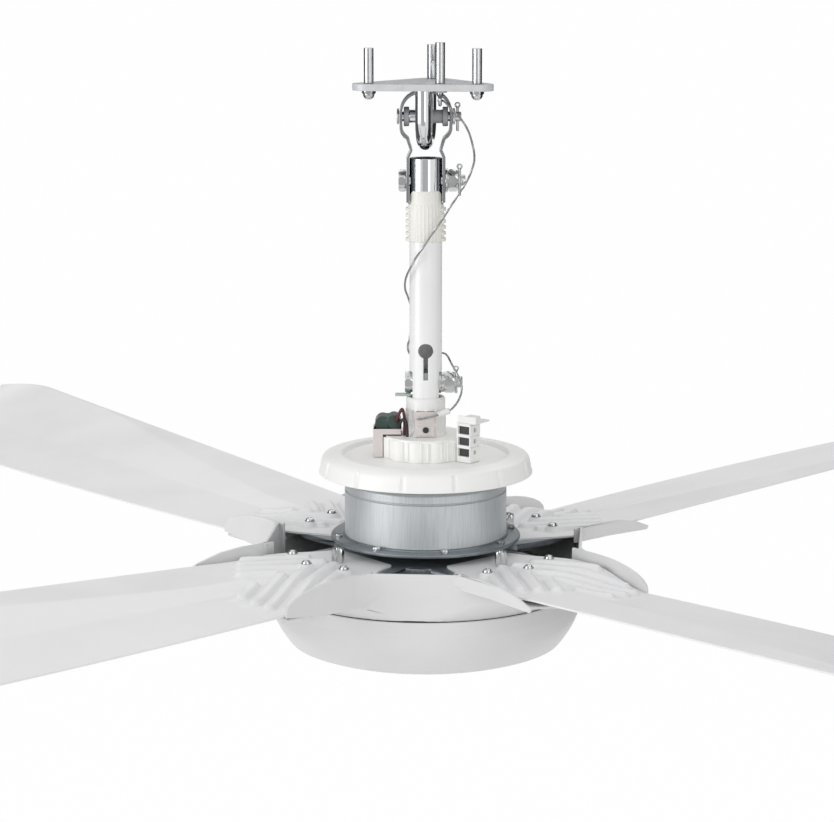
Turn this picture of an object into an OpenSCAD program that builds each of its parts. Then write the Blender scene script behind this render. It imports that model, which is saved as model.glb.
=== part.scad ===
// Four-blade ceiling fan on a short downrod, hung from a triangular ceiling plate.
// Origin: centre of the plate's top face, on the fan's axis. +Z up, front towards -Y. Millimetres.

/* [Ceiling plate and anchors] */
// Radius of the circle through the three ceiling anchors
anchor_circle_r = 50.8; // [46:0.5:58]
// Radius of each rounded corner of the plate
plate_corner_r = 13.5; // [11:0.5:16]
// Thickness of the plate
plate_t = 2.3; // [2:0.1:3]
// Depth of the plate's turned-down edge, below its top face
plate_lip = 5.6; // [4.5:0.1:6.5]
// Turn of the plate, its anchors and the hook about the fan's axis
plate_turn = -5.9; // [-10:0.1:10]
// Diameter of each anchor sleeve
anchor_d = 8; // [7:0.5:9]
// Height of the anchors above the plate
anchor_h = 28.5; // [24:0.5:34]
// Width across flats of the anchor nuts
anchor_nut_af = 10; // [9.5:0.5:11]
// Height of the fourth anchor, which holds the safety wire
safety_anchor_h = 33; // [28:0.5:40]

/* [Hook, roller and shackle] */
// Diameter of the hook's round bar
hook_bar_d = 13; // [11:0.5:14]
// Distance of each of the hook's legs from the fan's axis
hook_leg_out = 22.5; // [21.5:0.25:25]
// Length of the straight seat at the bottom of the hook
hook_seat = 6; // [4:0.5:8]
// Depth of the middle of the bends below the plate's top face
hook_drop = 29.5; // [28:0.5:34]
// Radius of the roller's soft wheel
roller_r = 14; // [12.5:0.25:14.5]
// Width of the roller's soft wheel
roller_wheel_w = 11; // [8:0.5:13]
// Diameter of the roller's collars
roller_collar_d = 16; // [14:0.5:18]
// Diameter of the pin through the roller
hanger_pin_d = 8; // [7:0.5:9]
// Half width of the shackle's ring, outside
ring_half_w = 22; // [21:0.25:24]
// Half height of the shackle's ring, outside
ring_half_h = 21.8; // [21:0.1:22]
// Width of the shackle's strap along the hook's plane
strap_w = 20; // [18:0.5:21]
// Thickness of the shackle's strap
strap_t = 2.3; // [2:0.1:2.8]
// Distance from the roller's axis down to the top of the downrod
rod_below_roller = 33.8; // [33:0.2:38]

/* [Downrod and its bolts] */
// Outside diameter of the downrod
rod_d = 27.2; // [26:0.1:30]
// Wall of the downrod
rod_wall = 2.8; // [2.3:0.1:3.2]
// Length of the downrod
rod_len = 208.5; // [190:0.5:400]
// Distance across the pressed flats at the downrod's lower end
rod_flat_w = 22; // [21:0.1:23]
// Diameter of the two clamp bolts
bolt_d = 10; // [9:0.5:10.5]
// Width across flats of the clamp bolts' heads and nuts
bolt_af = 16; // [15:0.5:17]
// Distance of the upper clamp bolt below the downrod's top
upper_bolt_inset = 18.7; // [17:0.1:22]
// Distance of the lower clamp bolt above the downrod's end
lower_bolt_inset = 21; // [20.4:0.1:22]
// Length of the upper clamp bolt under its head
upper_bolt_len = 48.6; // [46:0.2:54]
// Length of the lower clamp bolt under its head
lower_bolt_len = 41.7; // [39:0.1:46]
// Diameter of the round part of the keyhole
keyhole_d = 12.4; // [10:0.2:14]
// Width of the keyhole's slot
keyhole_slot_w = 3.8; // [3:0.2:5]
// Height of the keyhole's centre above the downrod's end
keyhole_above_end = 49; // [46:0.5:60]

/* [Ribbed sleeve] */
// Distance of the sleeve's top below the downrod's top
sleeve_inset = 37.5; // [36.5:0.5:60]
// Length of the sleeve
sleeve_len = 31; // [29:0.5:40]
// Number of ribs round the sleeve
sleeve_ribs = 6; // [4:1:6]
// Spacing of the sleeve's ribs
sleeve_rib_pitch = 5; // [4.5:0.1:5]
// Outside radius of the ribs
sleeve_rib_r = 16.8; // [16:0.1:18.5]

/* [Neck and top cover] */
// Outside radius of the neck's collar
collar_r = 16.4; // [15.6:0.1:18]
// Height of the neck's collar
collar_h = 10.2; // [8:0.2:12]
// Height of the neck below its collar
neck_h = 21.8; // [20:0.2:30]
// Radius of the neck's core
neck_core_r = 12.8; // [12:0.1:14]
// Number of ribs round the neck
neck_ribs = 12; // [8:1:14]
// Radius of the fluted hub
hub_r = 37; // [34:0.5:40]
// Height of the fluted hub
hub_h = 18.5; // [16:0.5:22]
// Number of flutes round the hub
hub_flutes = 12; // [8:1:16]
// Radius of the top cover at its lower edge
cover_r = 90.1; // [84:0.1:96]
// Radius of the top cover at its shoulder
cover_shoulder_r = 84.8; // [80:0.1:88]
// Radius of the step round the cover's floor
cover_step_r = 71; // [66:0.5:76]
// Height of the cover's skirt
cover_skirt_h = 13.5; // [11:0.5:16]
// Wall of the plastic covers
cover_wall = 2.2; // [1.8:0.1:2.6]
// Number of small ribs round the cover's rim
rim_ribs = 13; // [8:1:16]

/* [Motor] */
// Outside radius of the motor drum
drum_r = 68.3; // [64:0.1:72]
// Height of the motor drum up to its groove
drum_h = 37.2; // [34:0.1:42]
// Wall of the motor drum
drum_wall = 3; // [2.5:0.1:3.5]
// Radius of the flange round the drum's foot
flange_r = 80; // [76:0.5:82]
// Height of the drum's lid above the groove
lid_h = 8.5; // [7:0.5:10]
// Height of the groove round the drum
groove_h = 1.2; // [1:0.1:1.6]
// Radial thickness of the magnet ring
magnet_t = 7; // [6:0.5:8]
// Air gap between magnet ring and stator
air_gap = 0.6; // [0.5:0.1:1]
// Diameter of the fixed shaft
shaft_d = 17; // [15:0.5:17]
// Outside diameter of the bearings
bearing_d = 40; // [37:0.5:42]
// Width of the bearings
bearing_w = 12; // [10:0.5:13]
// Height of the drum's lower edge above the blade plane
drum_above_blades = 11.6; // [10:0.1:14]

/* [Blades] */
// Angle of the first blade, counted from the X axis
blade_turn = 40.4; // [0:0.1:90]
// Sweep radius, from the axis to the blade tips
sweep_r = 750; // [700:5:900]
// Radius at which the blades begin
blade_root_r = 66; // [64:0.5:70]
// Length of each blade's flat root, up to the end of the holder's arm
root_len = 75; // [70:0.5:80]
// Thickness of the blade sheet
blade_t = 1.6; // [1.2:0.1:2]
// Distance of the leading edge from the blade's axis, at mid radius
lead_mid = 65.7; // [62:0.1:70]
// Distance of the trailing edge from the blade's axis, at mid radius
trail_mid = 79.1; // [72:0.1:84]
// Height of the leading edge above the blade plane, at mid radius
lead_lift = 11.2; // [8:0.1:14]
// Depth of the trailing edge below the blade plane, at mid radius
trail_fall = 11.6; // [9:0.1:12]
// Height of the blade's root above the blade plane
root_lift = -1; // [-1.5:0.1:0]
// Number of embossed ribs that fan out over each root
root_ribs = 5; // [3:1:7]
// Height of the embossed ribs
root_rib_h = 4.6; // [3:0.1:5]
// Width of the embossed ribs
root_rib_w = 9; // [7:0.5:10]
// Diameter of the blade screws
blade_screw_d = 6; // [5:0.5:6]

/* [Hub cover and bowl] */
// Radius of the bowl at its rim
bowl_r = 130; // [126:0.5:134]
// Depth of the bowl
bowl_h = 60.5; // [52:0.5:70]
// Inset of the hub cover's seam from the bowl's rim
seam_inset = 2; // [1:0.25:5]
// Depth of the seam below the blade plane
seam_drop = 32.5; // [31:0.5:36]
// How far the hub cover's four upper edges stand out past the bowl's rim
side_over = 2.5; // [1:0.25:6]
// Height of the hub cover's upper edges above the blade plane
side_top = 8; // [6:0.5:9]
// Distance from blade axis to the inside of the trailing fairing
trail_wall_y = 64; // [63.6:0.1:66]
// Distance from blade axis to the inside of the leading fairing
lead_wall_y = 64.5; // [62:0.1:67]
// Length of the fairings past the bowl's rim
fairing_len = 69; // [60:1:76]

/* [Hidden] */
$fn = 64;

// Clearances between pieces
seat = 0.3;
fit = 0.15;
run_fit = 0.05;
eps = 0.01;

// Levels, from the ceiling down
plate_under = -plate_t;
hook_z = -hook_drop;
bar_r = hook_bar_d / 2;
hook_bend_r = hook_leg_out - hook_seat / 2;
roller_z = hook_z - hook_bend_r + bar_r + seat + roller_r;
rod_top = roller_z - rod_below_roller;
rod_end = rod_top - rod_len;
rod_r = rod_d / 2;
rod_bore_r = rod_r - rod_wall;
flat_in = rod_flat_w / 2 - rod_wall;
upper_bolt_z = rod_top - upper_bolt_inset;
lower_bolt_z = rod_end + lower_bolt_inset;
flat_top = lower_bolt_z + bolt_af / 2 / cos(30) + seat;
collar_top = rod_end + 9;
neck_top = collar_top - collar_h;
hub_top = neck_top - neck_h;
hub_bottom = hub_top - hub_h;
cover_floor = hub_bottom;
cover_edge = cover_floor - cover_skirt_h;
lid_top = cover_edge - 5.5;
groove_z = lid_top - lid_h;
drum_bottom = groove_z - groove_h - drum_h;
blade_z = drum_bottom - drum_above_blades;
holder_top = blade_z + root_lift - blade_t / 2;
holder_t = 5;
holder_under = holder_top - holder_t;
shield_t = 2;
seam_z = blade_z - seam_drop;
seam_r = bowl_r - seam_inset;
side_dist = bowl_r + side_over;
fairing_end = bowl_r + fairing_len;

// Shackle
leg_in = rod_r + fit;
leg_x = leg_in + strap_t / 2;
waist_x = 11.4;
waist_z = rod_top + 6.6;
shoulder_z = rod_top + 0.6;
leg_bottom = upper_bolt_z - 17.5;
ring_bulge = 2.4;
ring_from = -56;
ring_steps = 14;

// Fasteners
head_h = 6.4;
nut_h = 8.4;
washer_t = 2;
spring_washer_t = 2.6;
bolt_hole_r = bolt_d / 2 + 0.2;
pin_hole_r = hanger_pin_d / 2 + run_fit;
split_d = 2.4;
stud_reach = 7.4;
slot_below = 6;
pin_head_h = 1.8;
pin_tail = 7;
past_nut = nut_h + split_d / 2 + 0.2;
across = 1 / cos(30);

// Motor
lid_bore_r = bearing_d / 2 + fit;
shaft_r = shaft_d / 2;
stator_lift = 10;
stator_z = drum_bottom + stator_lift;
stator_h = drum_h - 2.2 * stator_lift;
slot_depth = 14;
slot_w = 5.2;
coil_h = 5;
base_r = bearing_d / 2 + 18;
magnet_in = drum_r - drum_wall - fit - magnet_t;
stator_r = magnet_in - air_gap;
upper_bearing_z = groove_z - bearing_w + 4;
lower_bearing_z = drum_bottom - 6;
shaft_bottom = lower_bearing_z - 2;
coupler_r = rod_bore_r - 0.1;

// Blades
mid_r = 400;
slope_r = 300;
flat_to = blade_root_r + root_len;
emboss_r0 = flat_to - 34;
emboss_r1_lead = flat_to + 15;
emboss_r1_trail = flat_to + 59;
emboss_half = 42;
screw_out = 34;
screw_spots = [[flat_to - 25, screw_out], [flat_to - 13, 0], [flat_to - 25, -screw_out]];
post_d = 8;
post_hex = 9;
post_hex_h = 12;
post_r = flange_r + 15;
rib_top = root_lift + blade_t / 2 + root_rib_h;

// Safety wire
wire_d = 1.8;
wire_sides = 8;
anchor_spot = [11.4, -23];
safety_stem_d = 5.4;
safety_nut_h = 5;
eye_z = plate_under - safety_nut_h - 3;

function unit(v) = v / norm(v);
function turn90(v) = [-v[1], v[0]];
function path_dir(p, i) = unit(p[min(i + 1, len(p) - 1)] - p[max(i - 1, 0)]);
function ribbon(p, t) = concat(
    [for (i = [0:len(p) - 1]) p[i] + turn90(path_dir(p, i)) * t / 2],
    [for (i = [len(p) - 1:-1:0]) p[i] - turn90(path_dir(p, i)) * t / 2]
);
function mix(a, b, k) = a + (b - a) * k;
function ease(k) = k <= 0 ? 0 : k >= 1 ? 1 : k * k * (3 - 2 * k);

// A tube swept along points in space, as one closed solid
function side_of(d) = unit(cross(d, abs(d[2]) > 0.9 ? [0, 1, 0] : [0, 0, 1]));
function frame_at(p, i, side) = unit(side - path_dir(p, i) * (side * path_dir(p, i)));
function frames(p, i = 0, side = undef) =
    let(s = i == 0 ? side_of(path_dir(p, 0)) : frame_at(p, i, side))
    i == len(p) - 1 ? [s] : concat([s], frames(p, i + 1, s));

module tube_along(p, d, sides) {
    f = frames(p);
    pts = [for (i = [0:len(p) - 1]) for (k = [0:sides - 1])
        let(u = f[i], w = cross(path_dir(p, i), u), a = 360 * k / sides)
        p[i] + (u * cos(a) + w * sin(a)) * d / 2];
    last = (len(p) - 1) * sides;
    walls = [for (i = [0:len(p) - 2]) for (k = [0:sides - 1])
        let(a = i * sides + k, b = i * sides + (k + 1) % sides)
        each [[a, b + sides, b], [a, a + sides, b + sides]]];
    caps = [for (k = [1:sides - 2]) each [[0, k, k + 1], [last, last + k + 1, last + k]]];
    polyhedron(pts, concat(walls, caps));
}

// A smooth curve through points chosen by hand
function bend(a, b, c, d, k) = 0.5 * (2 * b + (c - a) * k + (2 * a - 5 * b + 4 * c - d) * k * k
    + (3 * b - a - 3 * c + d) * k * k * k);
function curve(p, n) = concat(
    [for (i = [0:len(p) - 2]) for (j = [0:n - 1])
        bend(p[max(i - 1, 0)], p[i], p[i + 1], p[min(i + 2, len(p) - 1)], j / n)],
    [p[len(p) - 1]]);

module hex(af, h) {
    cylinder(d = af * across, h = h, $fn = 6);
}

module along_x(x) {
    translate([x, 0, 0]) rotate([0, 90, 0]) children();
}

// Ceiling plate and what is fixed to it
module each_anchor() {
    for (a = [90, 210, 330])
        rotate([0, 0, a + plate_turn]) translate([anchor_circle_r, 0, 0]) children();
}

module plate_outline(r) {
    hull() each_anchor() circle(r = r);
}

module ceiling_plate() {
    color("gainsboro") difference() {
        translate([0, 0, -plate_lip]) linear_extrude(plate_lip) plate_outline(plate_corner_r);
        translate([0, 0, -plate_lip - 1]) linear_extrude(plate_lip - plate_t + 1)
            plate_outline(plate_corner_r - plate_t);
        each_anchor() translate([0, 0, -plate_lip]) cylinder(d = anchor_d + 2 * fit, h = 2 * plate_lip);
        translate([anchor_spot[0], anchor_spot[1], -plate_lip])
            cylinder(d = anchor_d + 2 * fit, h = 2 * plate_lip);
    }
}

module hanger_hook() {
    color("silver") translate([0, 0, hook_z]) rotate([0, 0, 90 + plate_turn]) {
        for (s = [-1, 1])
            translate([s * hook_leg_out, 0, 0]) cylinder(r = bar_r, h = hook_drop - plate_t);
        for (s = [0, 1]) mirror([s, 0, 0]) translate([hook_seat / 2, 0, 0]) rotate([-90, 0, 0])
            rotate_extrude(angle = 90) translate([hook_bend_r, 0]) circle(r = bar_r);
        translate([0, 0, -hook_bend_r]) along_x(-hook_seat / 2) cylinder(r = bar_r, h = hook_seat);
    }
}

module anchor_studs() {
    color("lightgray") each_anchor() {
        difference() {
            cylinder(d = anchor_d, h = anchor_h);
            translate([0, 0, anchor_h - 3]) cylinder(d = anchor_d * 0.62, h = 4);
            rotate([0, 0, 200]) translate([anchor_d / 2 - 0.8, 0, anchor_h / 2]) rotate([0, 90, 0])
                cylinder(d = 2.4, h = 2);
        }
        translate([0, 0, plate_under - stud_reach]) cylinder(d = 5.8, h = stud_reach - plate_under + 4);
    }
}

module anchor_nuts() {
    color("silver") each_anchor() translate([0, 0, plate_under]) mirror([0, 0, 1]) difference() {
        union() {
            cylinder(d = anchor_nut_af * 1.5, h = 1.2);
            translate([0, 0, 1.2]) hex(anchor_nut_af, 5);
            translate([0, 0, 6.2 - eps]) intersection() {
                cylinder(d = anchor_nut_af * 0.94, h = anchor_nut_af / 2);
                sphere(d = anchor_nut_af * 0.98);
            }
        }
        translate([0, 0, -1]) cylinder(d = 6, h = stud_reach + 1.6);
    }
}

module safety_anchor() {
    color("silver") translate([anchor_spot[0], anchor_spot[1], 0]) {
        difference() {
            cylinder(d = anchor_d, h = safety_anchor_h);
            translate([0, 0, safety_anchor_h - 3]) cylinder(d = anchor_d * 0.6, h = 4);
        }
        translate([0, 0, eye_z]) cylinder(d = safety_stem_d, h = -eye_z + eps);
        translate([0, 0, eye_z - 3]) rotate([90, 0, 90]) rotate_extrude() translate([3.8, 0])
            circle(d = 3);
    }
}

module safety_nut() {
    color("silver") translate([anchor_spot[0], anchor_spot[1], plate_under - safety_nut_h]) difference() {
        union() {
            translate([0, 0, safety_nut_h - 1]) cylinder(d = anchor_nut_af * 1.2, h = 1);
            hex(anchor_nut_af, safety_nut_h - 1 + eps);
        }
        translate([0, 0, -1]) cylinder(d = safety_stem_d + 2 * run_fit, h = safety_nut_h + 2);
    }
}

// Swinging hanger
function ring_point(a) = let(c = cos(a), s = sin(a), rx = ring_half_w - strap_t / 2,
    rz = ring_half_h - strap_t / 2, k = 2 / ring_bulge)
    [rx * sign(c) * pow(abs(c), k), roller_z + rz * sign(s) * pow(abs(s), k)];
strap_side = concat([[leg_x, leg_bottom], [leg_x, shoulder_z], [waist_x, waist_z]],
    [for (i = [0:ring_steps]) ring_point(mix(ring_from, 90, i / ring_steps))]);
strap_path = concat(strap_side,
    [for (i = [len(strap_side) - 2:-1:0]) [-strap_side[i][0], strap_side[i][1]]]);

module shackle() {
    color("silver") difference() {
        translate([0, strap_w / 2, 0]) rotate([90, 0, 0]) linear_extrude(strap_w)
            polygon(ribbon(strap_path, strap_t));
        translate([0, 0, roller_z]) along_x(-2 * ring_half_w) cylinder(r = pin_hole_r, h = 4 * ring_half_w);
        translate([0, 0, upper_bolt_z]) along_x(-2 * rod_r) cylinder(r = bolt_hole_r, h = 4 * rod_r);
    }
}

collar_neck = 2.5;
collar_w = 4.5;
collar_room = 1;
room_r = roller_collar_d / 2 + collar_room;
ring_mid = [ring_half_w - strap_t / 2, ring_half_h - strap_t / 2];
collar_half = ring_mid[0] * pow(1 - pow(room_r / ring_mid[1], ring_bulge), 1 / ring_bulge)
    - strap_t / 2 - seat;

module hanger_roller() {
    color("gray") translate([0, 0, roller_z]) difference() {
        union() {
            along_x(-collar_half) cylinder(d = roller_collar_d - 2 * collar_neck, h = 2 * collar_half);
            along_x(-roller_wheel_w / 2) rotate_extrude() polygon([[0, 0], [roller_r - 1, 0],
                [roller_r, 1], [roller_r, roller_wheel_w - 1], [roller_r - 1, roller_wheel_w],
                [0, roller_wheel_w]]);
            for (s = [-1, 1]) along_x(s * (collar_half - collar_w / 2) - collar_w / 2)
                cylinder(d = roller_collar_d, h = collar_w);
        }
        along_x(-2 * collar_half) cylinder(r = pin_hole_r, h = 4 * collar_half);
    }
}

module hanger_pin() {
    color("silver") translate([0, 0, roller_z]) difference() {
        union() {
            along_x(-ring_half_w - pin_head_h) cylinder(d = hanger_pin_d + 5, h = pin_head_h);
            along_x(-ring_half_w - eps)
                cylinder(d = hanger_pin_d, h = 2 * ring_half_w + pin_tail + eps);
        }
        translate([ring_half_w + washer_t + 2, 0, -hanger_pin_d])
            cylinder(d = split_d, h = 2 * hanger_pin_d);
    }
}

module hanger_washers() {
    color("silver") translate([0, 0, roller_z]) along_x(ring_half_w) difference() {
        cylinder(d = hanger_pin_d * 1.7, h = washer_t);
        translate([0, 0, -1]) cylinder(r = pin_hole_r, h = washer_t + 2);
    }
}

// Clamp bolts: head on the left, nut and split pin on the right
upper_face = leg_in + strap_t;
lower_face = rod_flat_w / 2;
upper_stack = washer_t;
lower_stack = washer_t + spring_washer_t;

module clamp_bolt(z, face, length, stack) {
    translate([0, 0, z]) difference() {
        union() {
            along_x(-face - head_h) intersection() {
                hex(bolt_af, head_h);
                cylinder(d1 = bolt_af * 0.96, d2 = bolt_af * 1.5, h = head_h);
            }
            along_x(-face - eps) cylinder(d = bolt_d, h = length + eps);
        }
        translate([face + stack + past_nut, 0, -bolt_d])
            cylinder(d = split_d, h = 2 * bolt_d);
    }
}

module clamp_bolts() {
    color("silver") {
        clamp_bolt(upper_bolt_z, upper_face, upper_bolt_len, upper_stack);
        clamp_bolt(lower_bolt_z, lower_face, lower_bolt_len, lower_stack);
    }
}

module washer(x, z, d, t) {
    translate([0, 0, z]) along_x(x) difference() {
        cylinder(d = d, h = t);
        translate([0, 0, -1]) cylinder(r = bolt_hole_r, h = t + 2);
    }
}

module clamp_washers() {
    color("lightgray") {
        washer(upper_face, upper_bolt_z, bolt_af * 1.25, washer_t);
        washer(lower_face, lower_bolt_z, 2 * (flat_top - lower_bolt_z) - 2 * seat, washer_t);
        washer(lower_face + washer_t, lower_bolt_z, bolt_af * 1.05, spring_washer_t);
    }
}

module clamp_nut(x, z) {
    translate([0, 0, z]) along_x(x) difference() {
        hex(bolt_af, nut_h);
        translate([0, 0, -1]) cylinder(r = bolt_d / 2 + run_fit, h = nut_h + 2);
    }
}

module clamp_nuts() {
    color("silver") {
        clamp_nut(upper_face + upper_stack, upper_bolt_z);
        clamp_nut(lower_face + lower_stack, lower_bolt_z);
    }
}

module split_pin(x, z, up, down) {
    translate([x, 0, z - down]) cylinder(d = split_d - 2 * run_fit, h = up + down, $fn = 24);
    translate([x, 0, z + up + 1.4]) rotate([90, 0, 0]) rotate_extrude($fn = 24) translate([1.8, 0])
        circle(d = 1.4, $fn = 16);
}

module split_pins() {
    color("silver") {
        split_pin(upper_face + upper_stack + past_nut, upper_bolt_z, bolt_af * 0.63, bolt_af * 0.8);
        split_pin(lower_face + lower_stack + past_nut, lower_bolt_z, bolt_af * 0.63, bolt_af * 0.6);
        split_pin(ring_half_w + washer_t + 2, roller_z, hanger_pin_d, hanger_pin_d * 1.5);
    }
}

// Downrod
module rod_section(r, half_flat, z0, z1) {
    translate([0, 0, z0]) intersection() {
        cylinder(r = r, h = z1 - z0);
        translate([-half_flat, -2 * r, 0]) cube([2 * half_flat, 4 * r, z1 - z0]);
    }
}

module downrod() {
    color("whitesmoke") difference() {
        union() {
            translate([0, 0, flat_top]) cylinder(r = rod_r, h = rod_top - flat_top);
            rod_section(rod_r, rod_flat_w / 2, rod_end, flat_top + eps);
        }
        translate([0, 0, flat_top]) cylinder(r = rod_bore_r, h = rod_len);
        rod_section(rod_bore_r, flat_in, rod_end - 1, flat_top + 2 * eps);
        for (z = [upper_bolt_z, lower_bolt_z])
            translate([0, 0, z]) along_x(-2 * rod_r) cylinder(r = bolt_hole_r, h = 4 * rod_r);
        translate([0, 0, rod_end + keyhole_above_end]) rotate([90, 0, 0])
            cylinder(d = keyhole_d, h = 2 * rod_r);
        translate([-keyhole_slot_w / 2, -2 * rod_r, flat_top - slot_below])
            cube([keyhole_slot_w, 2 * rod_r, rod_end + keyhole_above_end - flat_top + slot_below]);
    }
}

module rod_sleeve() {
    sleeve_top = rod_top - sleeve_inset;
    wall_r = rod_r + fit + 1.1;
    rib_half = wall_r * 0.62;
    color("ivory") translate([0, 0, sleeve_top - sleeve_len]) difference() {
        union() {
            cylinder(r = wall_r, h = sleeve_len);
            for (i = [0:sleeve_ribs - 1])
                translate([0, 0, i * sleeve_rib_pitch]) intersection() {
                    cylinder(r = sleeve_rib_r, h = 2.6);
                    translate([-sleeve_rib_r, -rib_half, 0]) cube([2 * sleeve_rib_r, 2 * rib_half, 2.6]);
                }
            for (a = [-36, -12, 12, 36]) for (s = [90, 270])
                rotate([0, 0, s + a]) translate([wall_r - 0.5, -0.8, 0]) cube([1, 1.6, sleeve_len - 3]);
        }
        translate([0, 0, -1]) cylinder(r = rod_r + fit, h = sleeve_len + 2);
    }
}

// Neck and wiring
module neck() {
    color("whitesmoke") difference() {
        union() {
            translate([0, 0, neck_top]) cylinder(r = collar_r, h = collar_h - 1.5);
            translate([0, 0, collar_top - 1.5]) cylinder(r1 = collar_r, r2 = collar_r - 1.2, h = 1.5);
            translate([0, 0, hub_top]) cylinder(r = neck_core_r, h = neck_h + eps);
            translate([0, 0, hub_top]) cylinder(r1 = collar_r + 1.6, r2 = neck_core_r, h = 5);
            for (i = [0:neck_ribs - 1])
                rotate([0, 0, 360 / neck_ribs * i]) translate([0, -0.8, hub_top])
                    cube([collar_r + 0.6, 1.6, neck_h + eps]);
        }
        translate([0, 0, rod_end - seat]) cylinder(r = rod_r + fit, h = collar_h * 2);
        translate([0, 0, hub_top - 1]) cylinder(r = shaft_r + run_fit, h = neck_h + collar_h);
        translate([-panel_w / 2 - 0.4, -collar_r - 8, hub_top - 1]) cube([panel_w + 0.8, 8.6, neck_h + 1]);
    }
}

panel_w = 18;
panel_face = -collar_r + 0.6 - fit;

module neck_panel() {
    color("linen") difference() {
        union() {
            translate([-panel_w / 2, panel_face - 1.6, hub_top + seat])
                cube([panel_w, 1.6, neck_h - 2 * seat]);
            for (z = [0, 1])
                translate([-panel_w / 2 + 2, panel_face - 3, hub_top + 2 + z * (neck_h / 2 - 0.5)])
                    cube([panel_w - 4, 1.4 + eps, neck_h / 2 - 3.5]);
        }
        translate([0, panel_face + 1, hub_top + neck_h * 0.3]) rotate([90, 0, 0])
            cylinder(d = 3.2, h = 6);
    }
}

module panel_screws() {
    color("dimgray") translate([0, panel_face - 3, hub_top + neck_h * 0.3]) rotate([90, 0, 0]) {
        cylinder(d = 5, h = 1.4);
        translate([0, 0, -3 - eps]) cylinder(d = 3, h = 3 + 2 * eps);
    }
}

module fluted_hub() {
    color("whitesmoke") translate([0, 0, hub_bottom]) difference() {
        union() {
            cylinder(r = hub_r - 2.4, h = hub_h);
            for (i = [0:hub_flutes - 1])
                rotate([0, 0, 360 / hub_flutes * (i + 0.5)]) translate([hub_r - 8.2, 0, 0])
                    cylinder(r = 8, h = hub_h - 1);
        }
        translate([0, 0, -1]) cylinder(r = hub_r - 6, h = hub_h - 2);
        translate([0, 0, -1]) cylinder(r = shaft_r + run_fit, h = hub_h + 2);
        translate([-hub_r - 10, -9, hub_h - 9]) cube([hub_r - 10, 18, 20]);
    }
}

module top_cover() {
    z = cover_floor;
    color("whitesmoke") difference() {
        union() {
            rotate_extrude($fn = 128) polygon([
                [shaft_r + 1, z - cover_wall], [shaft_r + 1, z],
                [cover_step_r - 1.5, z], [cover_step_r - 0.5, z + 2.6],
                [cover_step_r + 1, z + 3.2], [cover_shoulder_r - 3, z + 1.6],
                [cover_shoulder_r, z - 0.6], [cover_r - 0.8, cover_edge + 2], [cover_r, cover_edge + 0.6],
                [cover_r - 0.4, cover_edge], [cover_r - cover_wall - 0.4, cover_edge],
                [cover_shoulder_r - cover_wall, z - 2.4], [cover_shoulder_r - 4, z - cover_wall]
            ]);
            for (i = [0:rim_ribs - 1])
                rotate([0, 0, 360 / rim_ribs * (i + 0.3)])
                    translate([cover_r - 2.4, -0.9, cover_edge]) cube([2.9, 1.8, 5]);
        }
        for (a = [20:120:260])
            rotate([0, 0, a]) translate([cover_step_r - 16, 0, z - 5]) cylinder(d = 4.2, h = 10);
    }
}

cap_x = -33;
cap_z = cover_floor + 28;

module capacitor() {
    color("darkslategray") {
        translate([cap_x - 3, -7, cap_z]) rotate([-90, 0, 0]) cylinder(d = 13, h = 18);
        translate([cap_x + 6.4, -8, cap_z + 1.6]) rotate([-90, 0, 0]) cylinder(d = 12, h = 18);
        translate([cap_x - 3, -7, cap_z - 2]) cube([9.4, 18, 8]);
    }
}

module capacitor_tray() {
    color("mistyrose") difference() {
        translate([cap_x - 11, -11, cover_floor + seat]) cube([23.4, 24, 24]);
        translate([cap_x - 8.8, -8.6, cover_floor + 4]) cube([21, 21, 30]);
        translate([0, 0, hub_bottom - 1]) cylinder(r = hub_r + 0.4, h = hub_h + 2);
    }
}

lead_d = 2.6;
brown_path = curve([[-24.5, -8.2, cap_z + 3], [-24.5, -10.2, cap_z + 3.6], [-22, -11.6, cap_z + 10],
    [-19.6, -12, cap_z + 13.5], [-18, -11, cap_z + 8], [-17.6, -9.4, cap_z], [-17.8, -8.6, hub_top + 2],
    [-17.8, -8.6, hub_top + fit]], 4);
black_path = curve([[-22.4, -8.2, cap_z - 2.5], [-22.4, -10.8, cap_z - 1.6], [-20.2, -13.4, cap_z + 4],
    [-17.4, -14.6, cap_z + 5], [-15.8, -14.6, cap_z], [-15.4, -14.2, hub_top + 2],
    [-15.4, -14.2, hub_top + fit]], 4);

module lead_brown() {
    color("maroon") tube_along(brown_path, lead_d, 8);
}

module lead_black() {
    color("black") tube_along(black_path, lead_d, 8);
}

// Terminal block: three tiers on a foot beside the hub, with windows at the left and screws at the right
block_turn = -37;
block_w = 14;
block_foot = 3.6;
block_tier = 9.4;
block_wall = 1.3;
block_h = block_foot + 3 * block_tier + block_wall;
block_screw_d = 4;
flap_w = 18;
flap_t = 1.6;

module block_place() {
    rotate([0, 0, block_turn]) translate([hub_r + seat + block_w / 2, 0, cover_floor]) children();
}

module each_tier() {
    for (i = [0:2]) translate([0, 0, seat + block_foot + block_tier * (i + 0.5)]) children();
}

module terminal_block() {
    window_h = block_tier - 2 * block_wall;
    color("whitesmoke") block_place() difference() {
        translate([-block_w / 2, -block_w / 2, seat]) cube([block_w, block_w, block_h]);
        each_tier() {
            translate([-block_w / 2 + block_wall, -block_w / 2 - 1, -window_h / 2])
                cube([block_w - 2 * block_wall, 5.5, window_h]);
            translate([block_w / 2 - 6, 0, 0]) rotate([0, 90, 0]) cylinder(d = block_screw_d + fit, h = 10);
            translate([block_w / 2 - 0.8, -block_w, block_tier / 2 - 0.5]) cube([block_w, 2 * block_w, 1]);
        }
    }
}

module terminal_screws() {
    color("gray") block_place() each_tier()
        translate([block_w / 2 - 4.4, 0, 0]) rotate([0, 90, 0]) difference() {
            translate([0, 0, -1.3]) cylinder(d = block_screw_d, h = 3.4);
            translate([-3, -0.4, 1.3]) cube([6, 0.8, 2]);
        }
}

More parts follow.
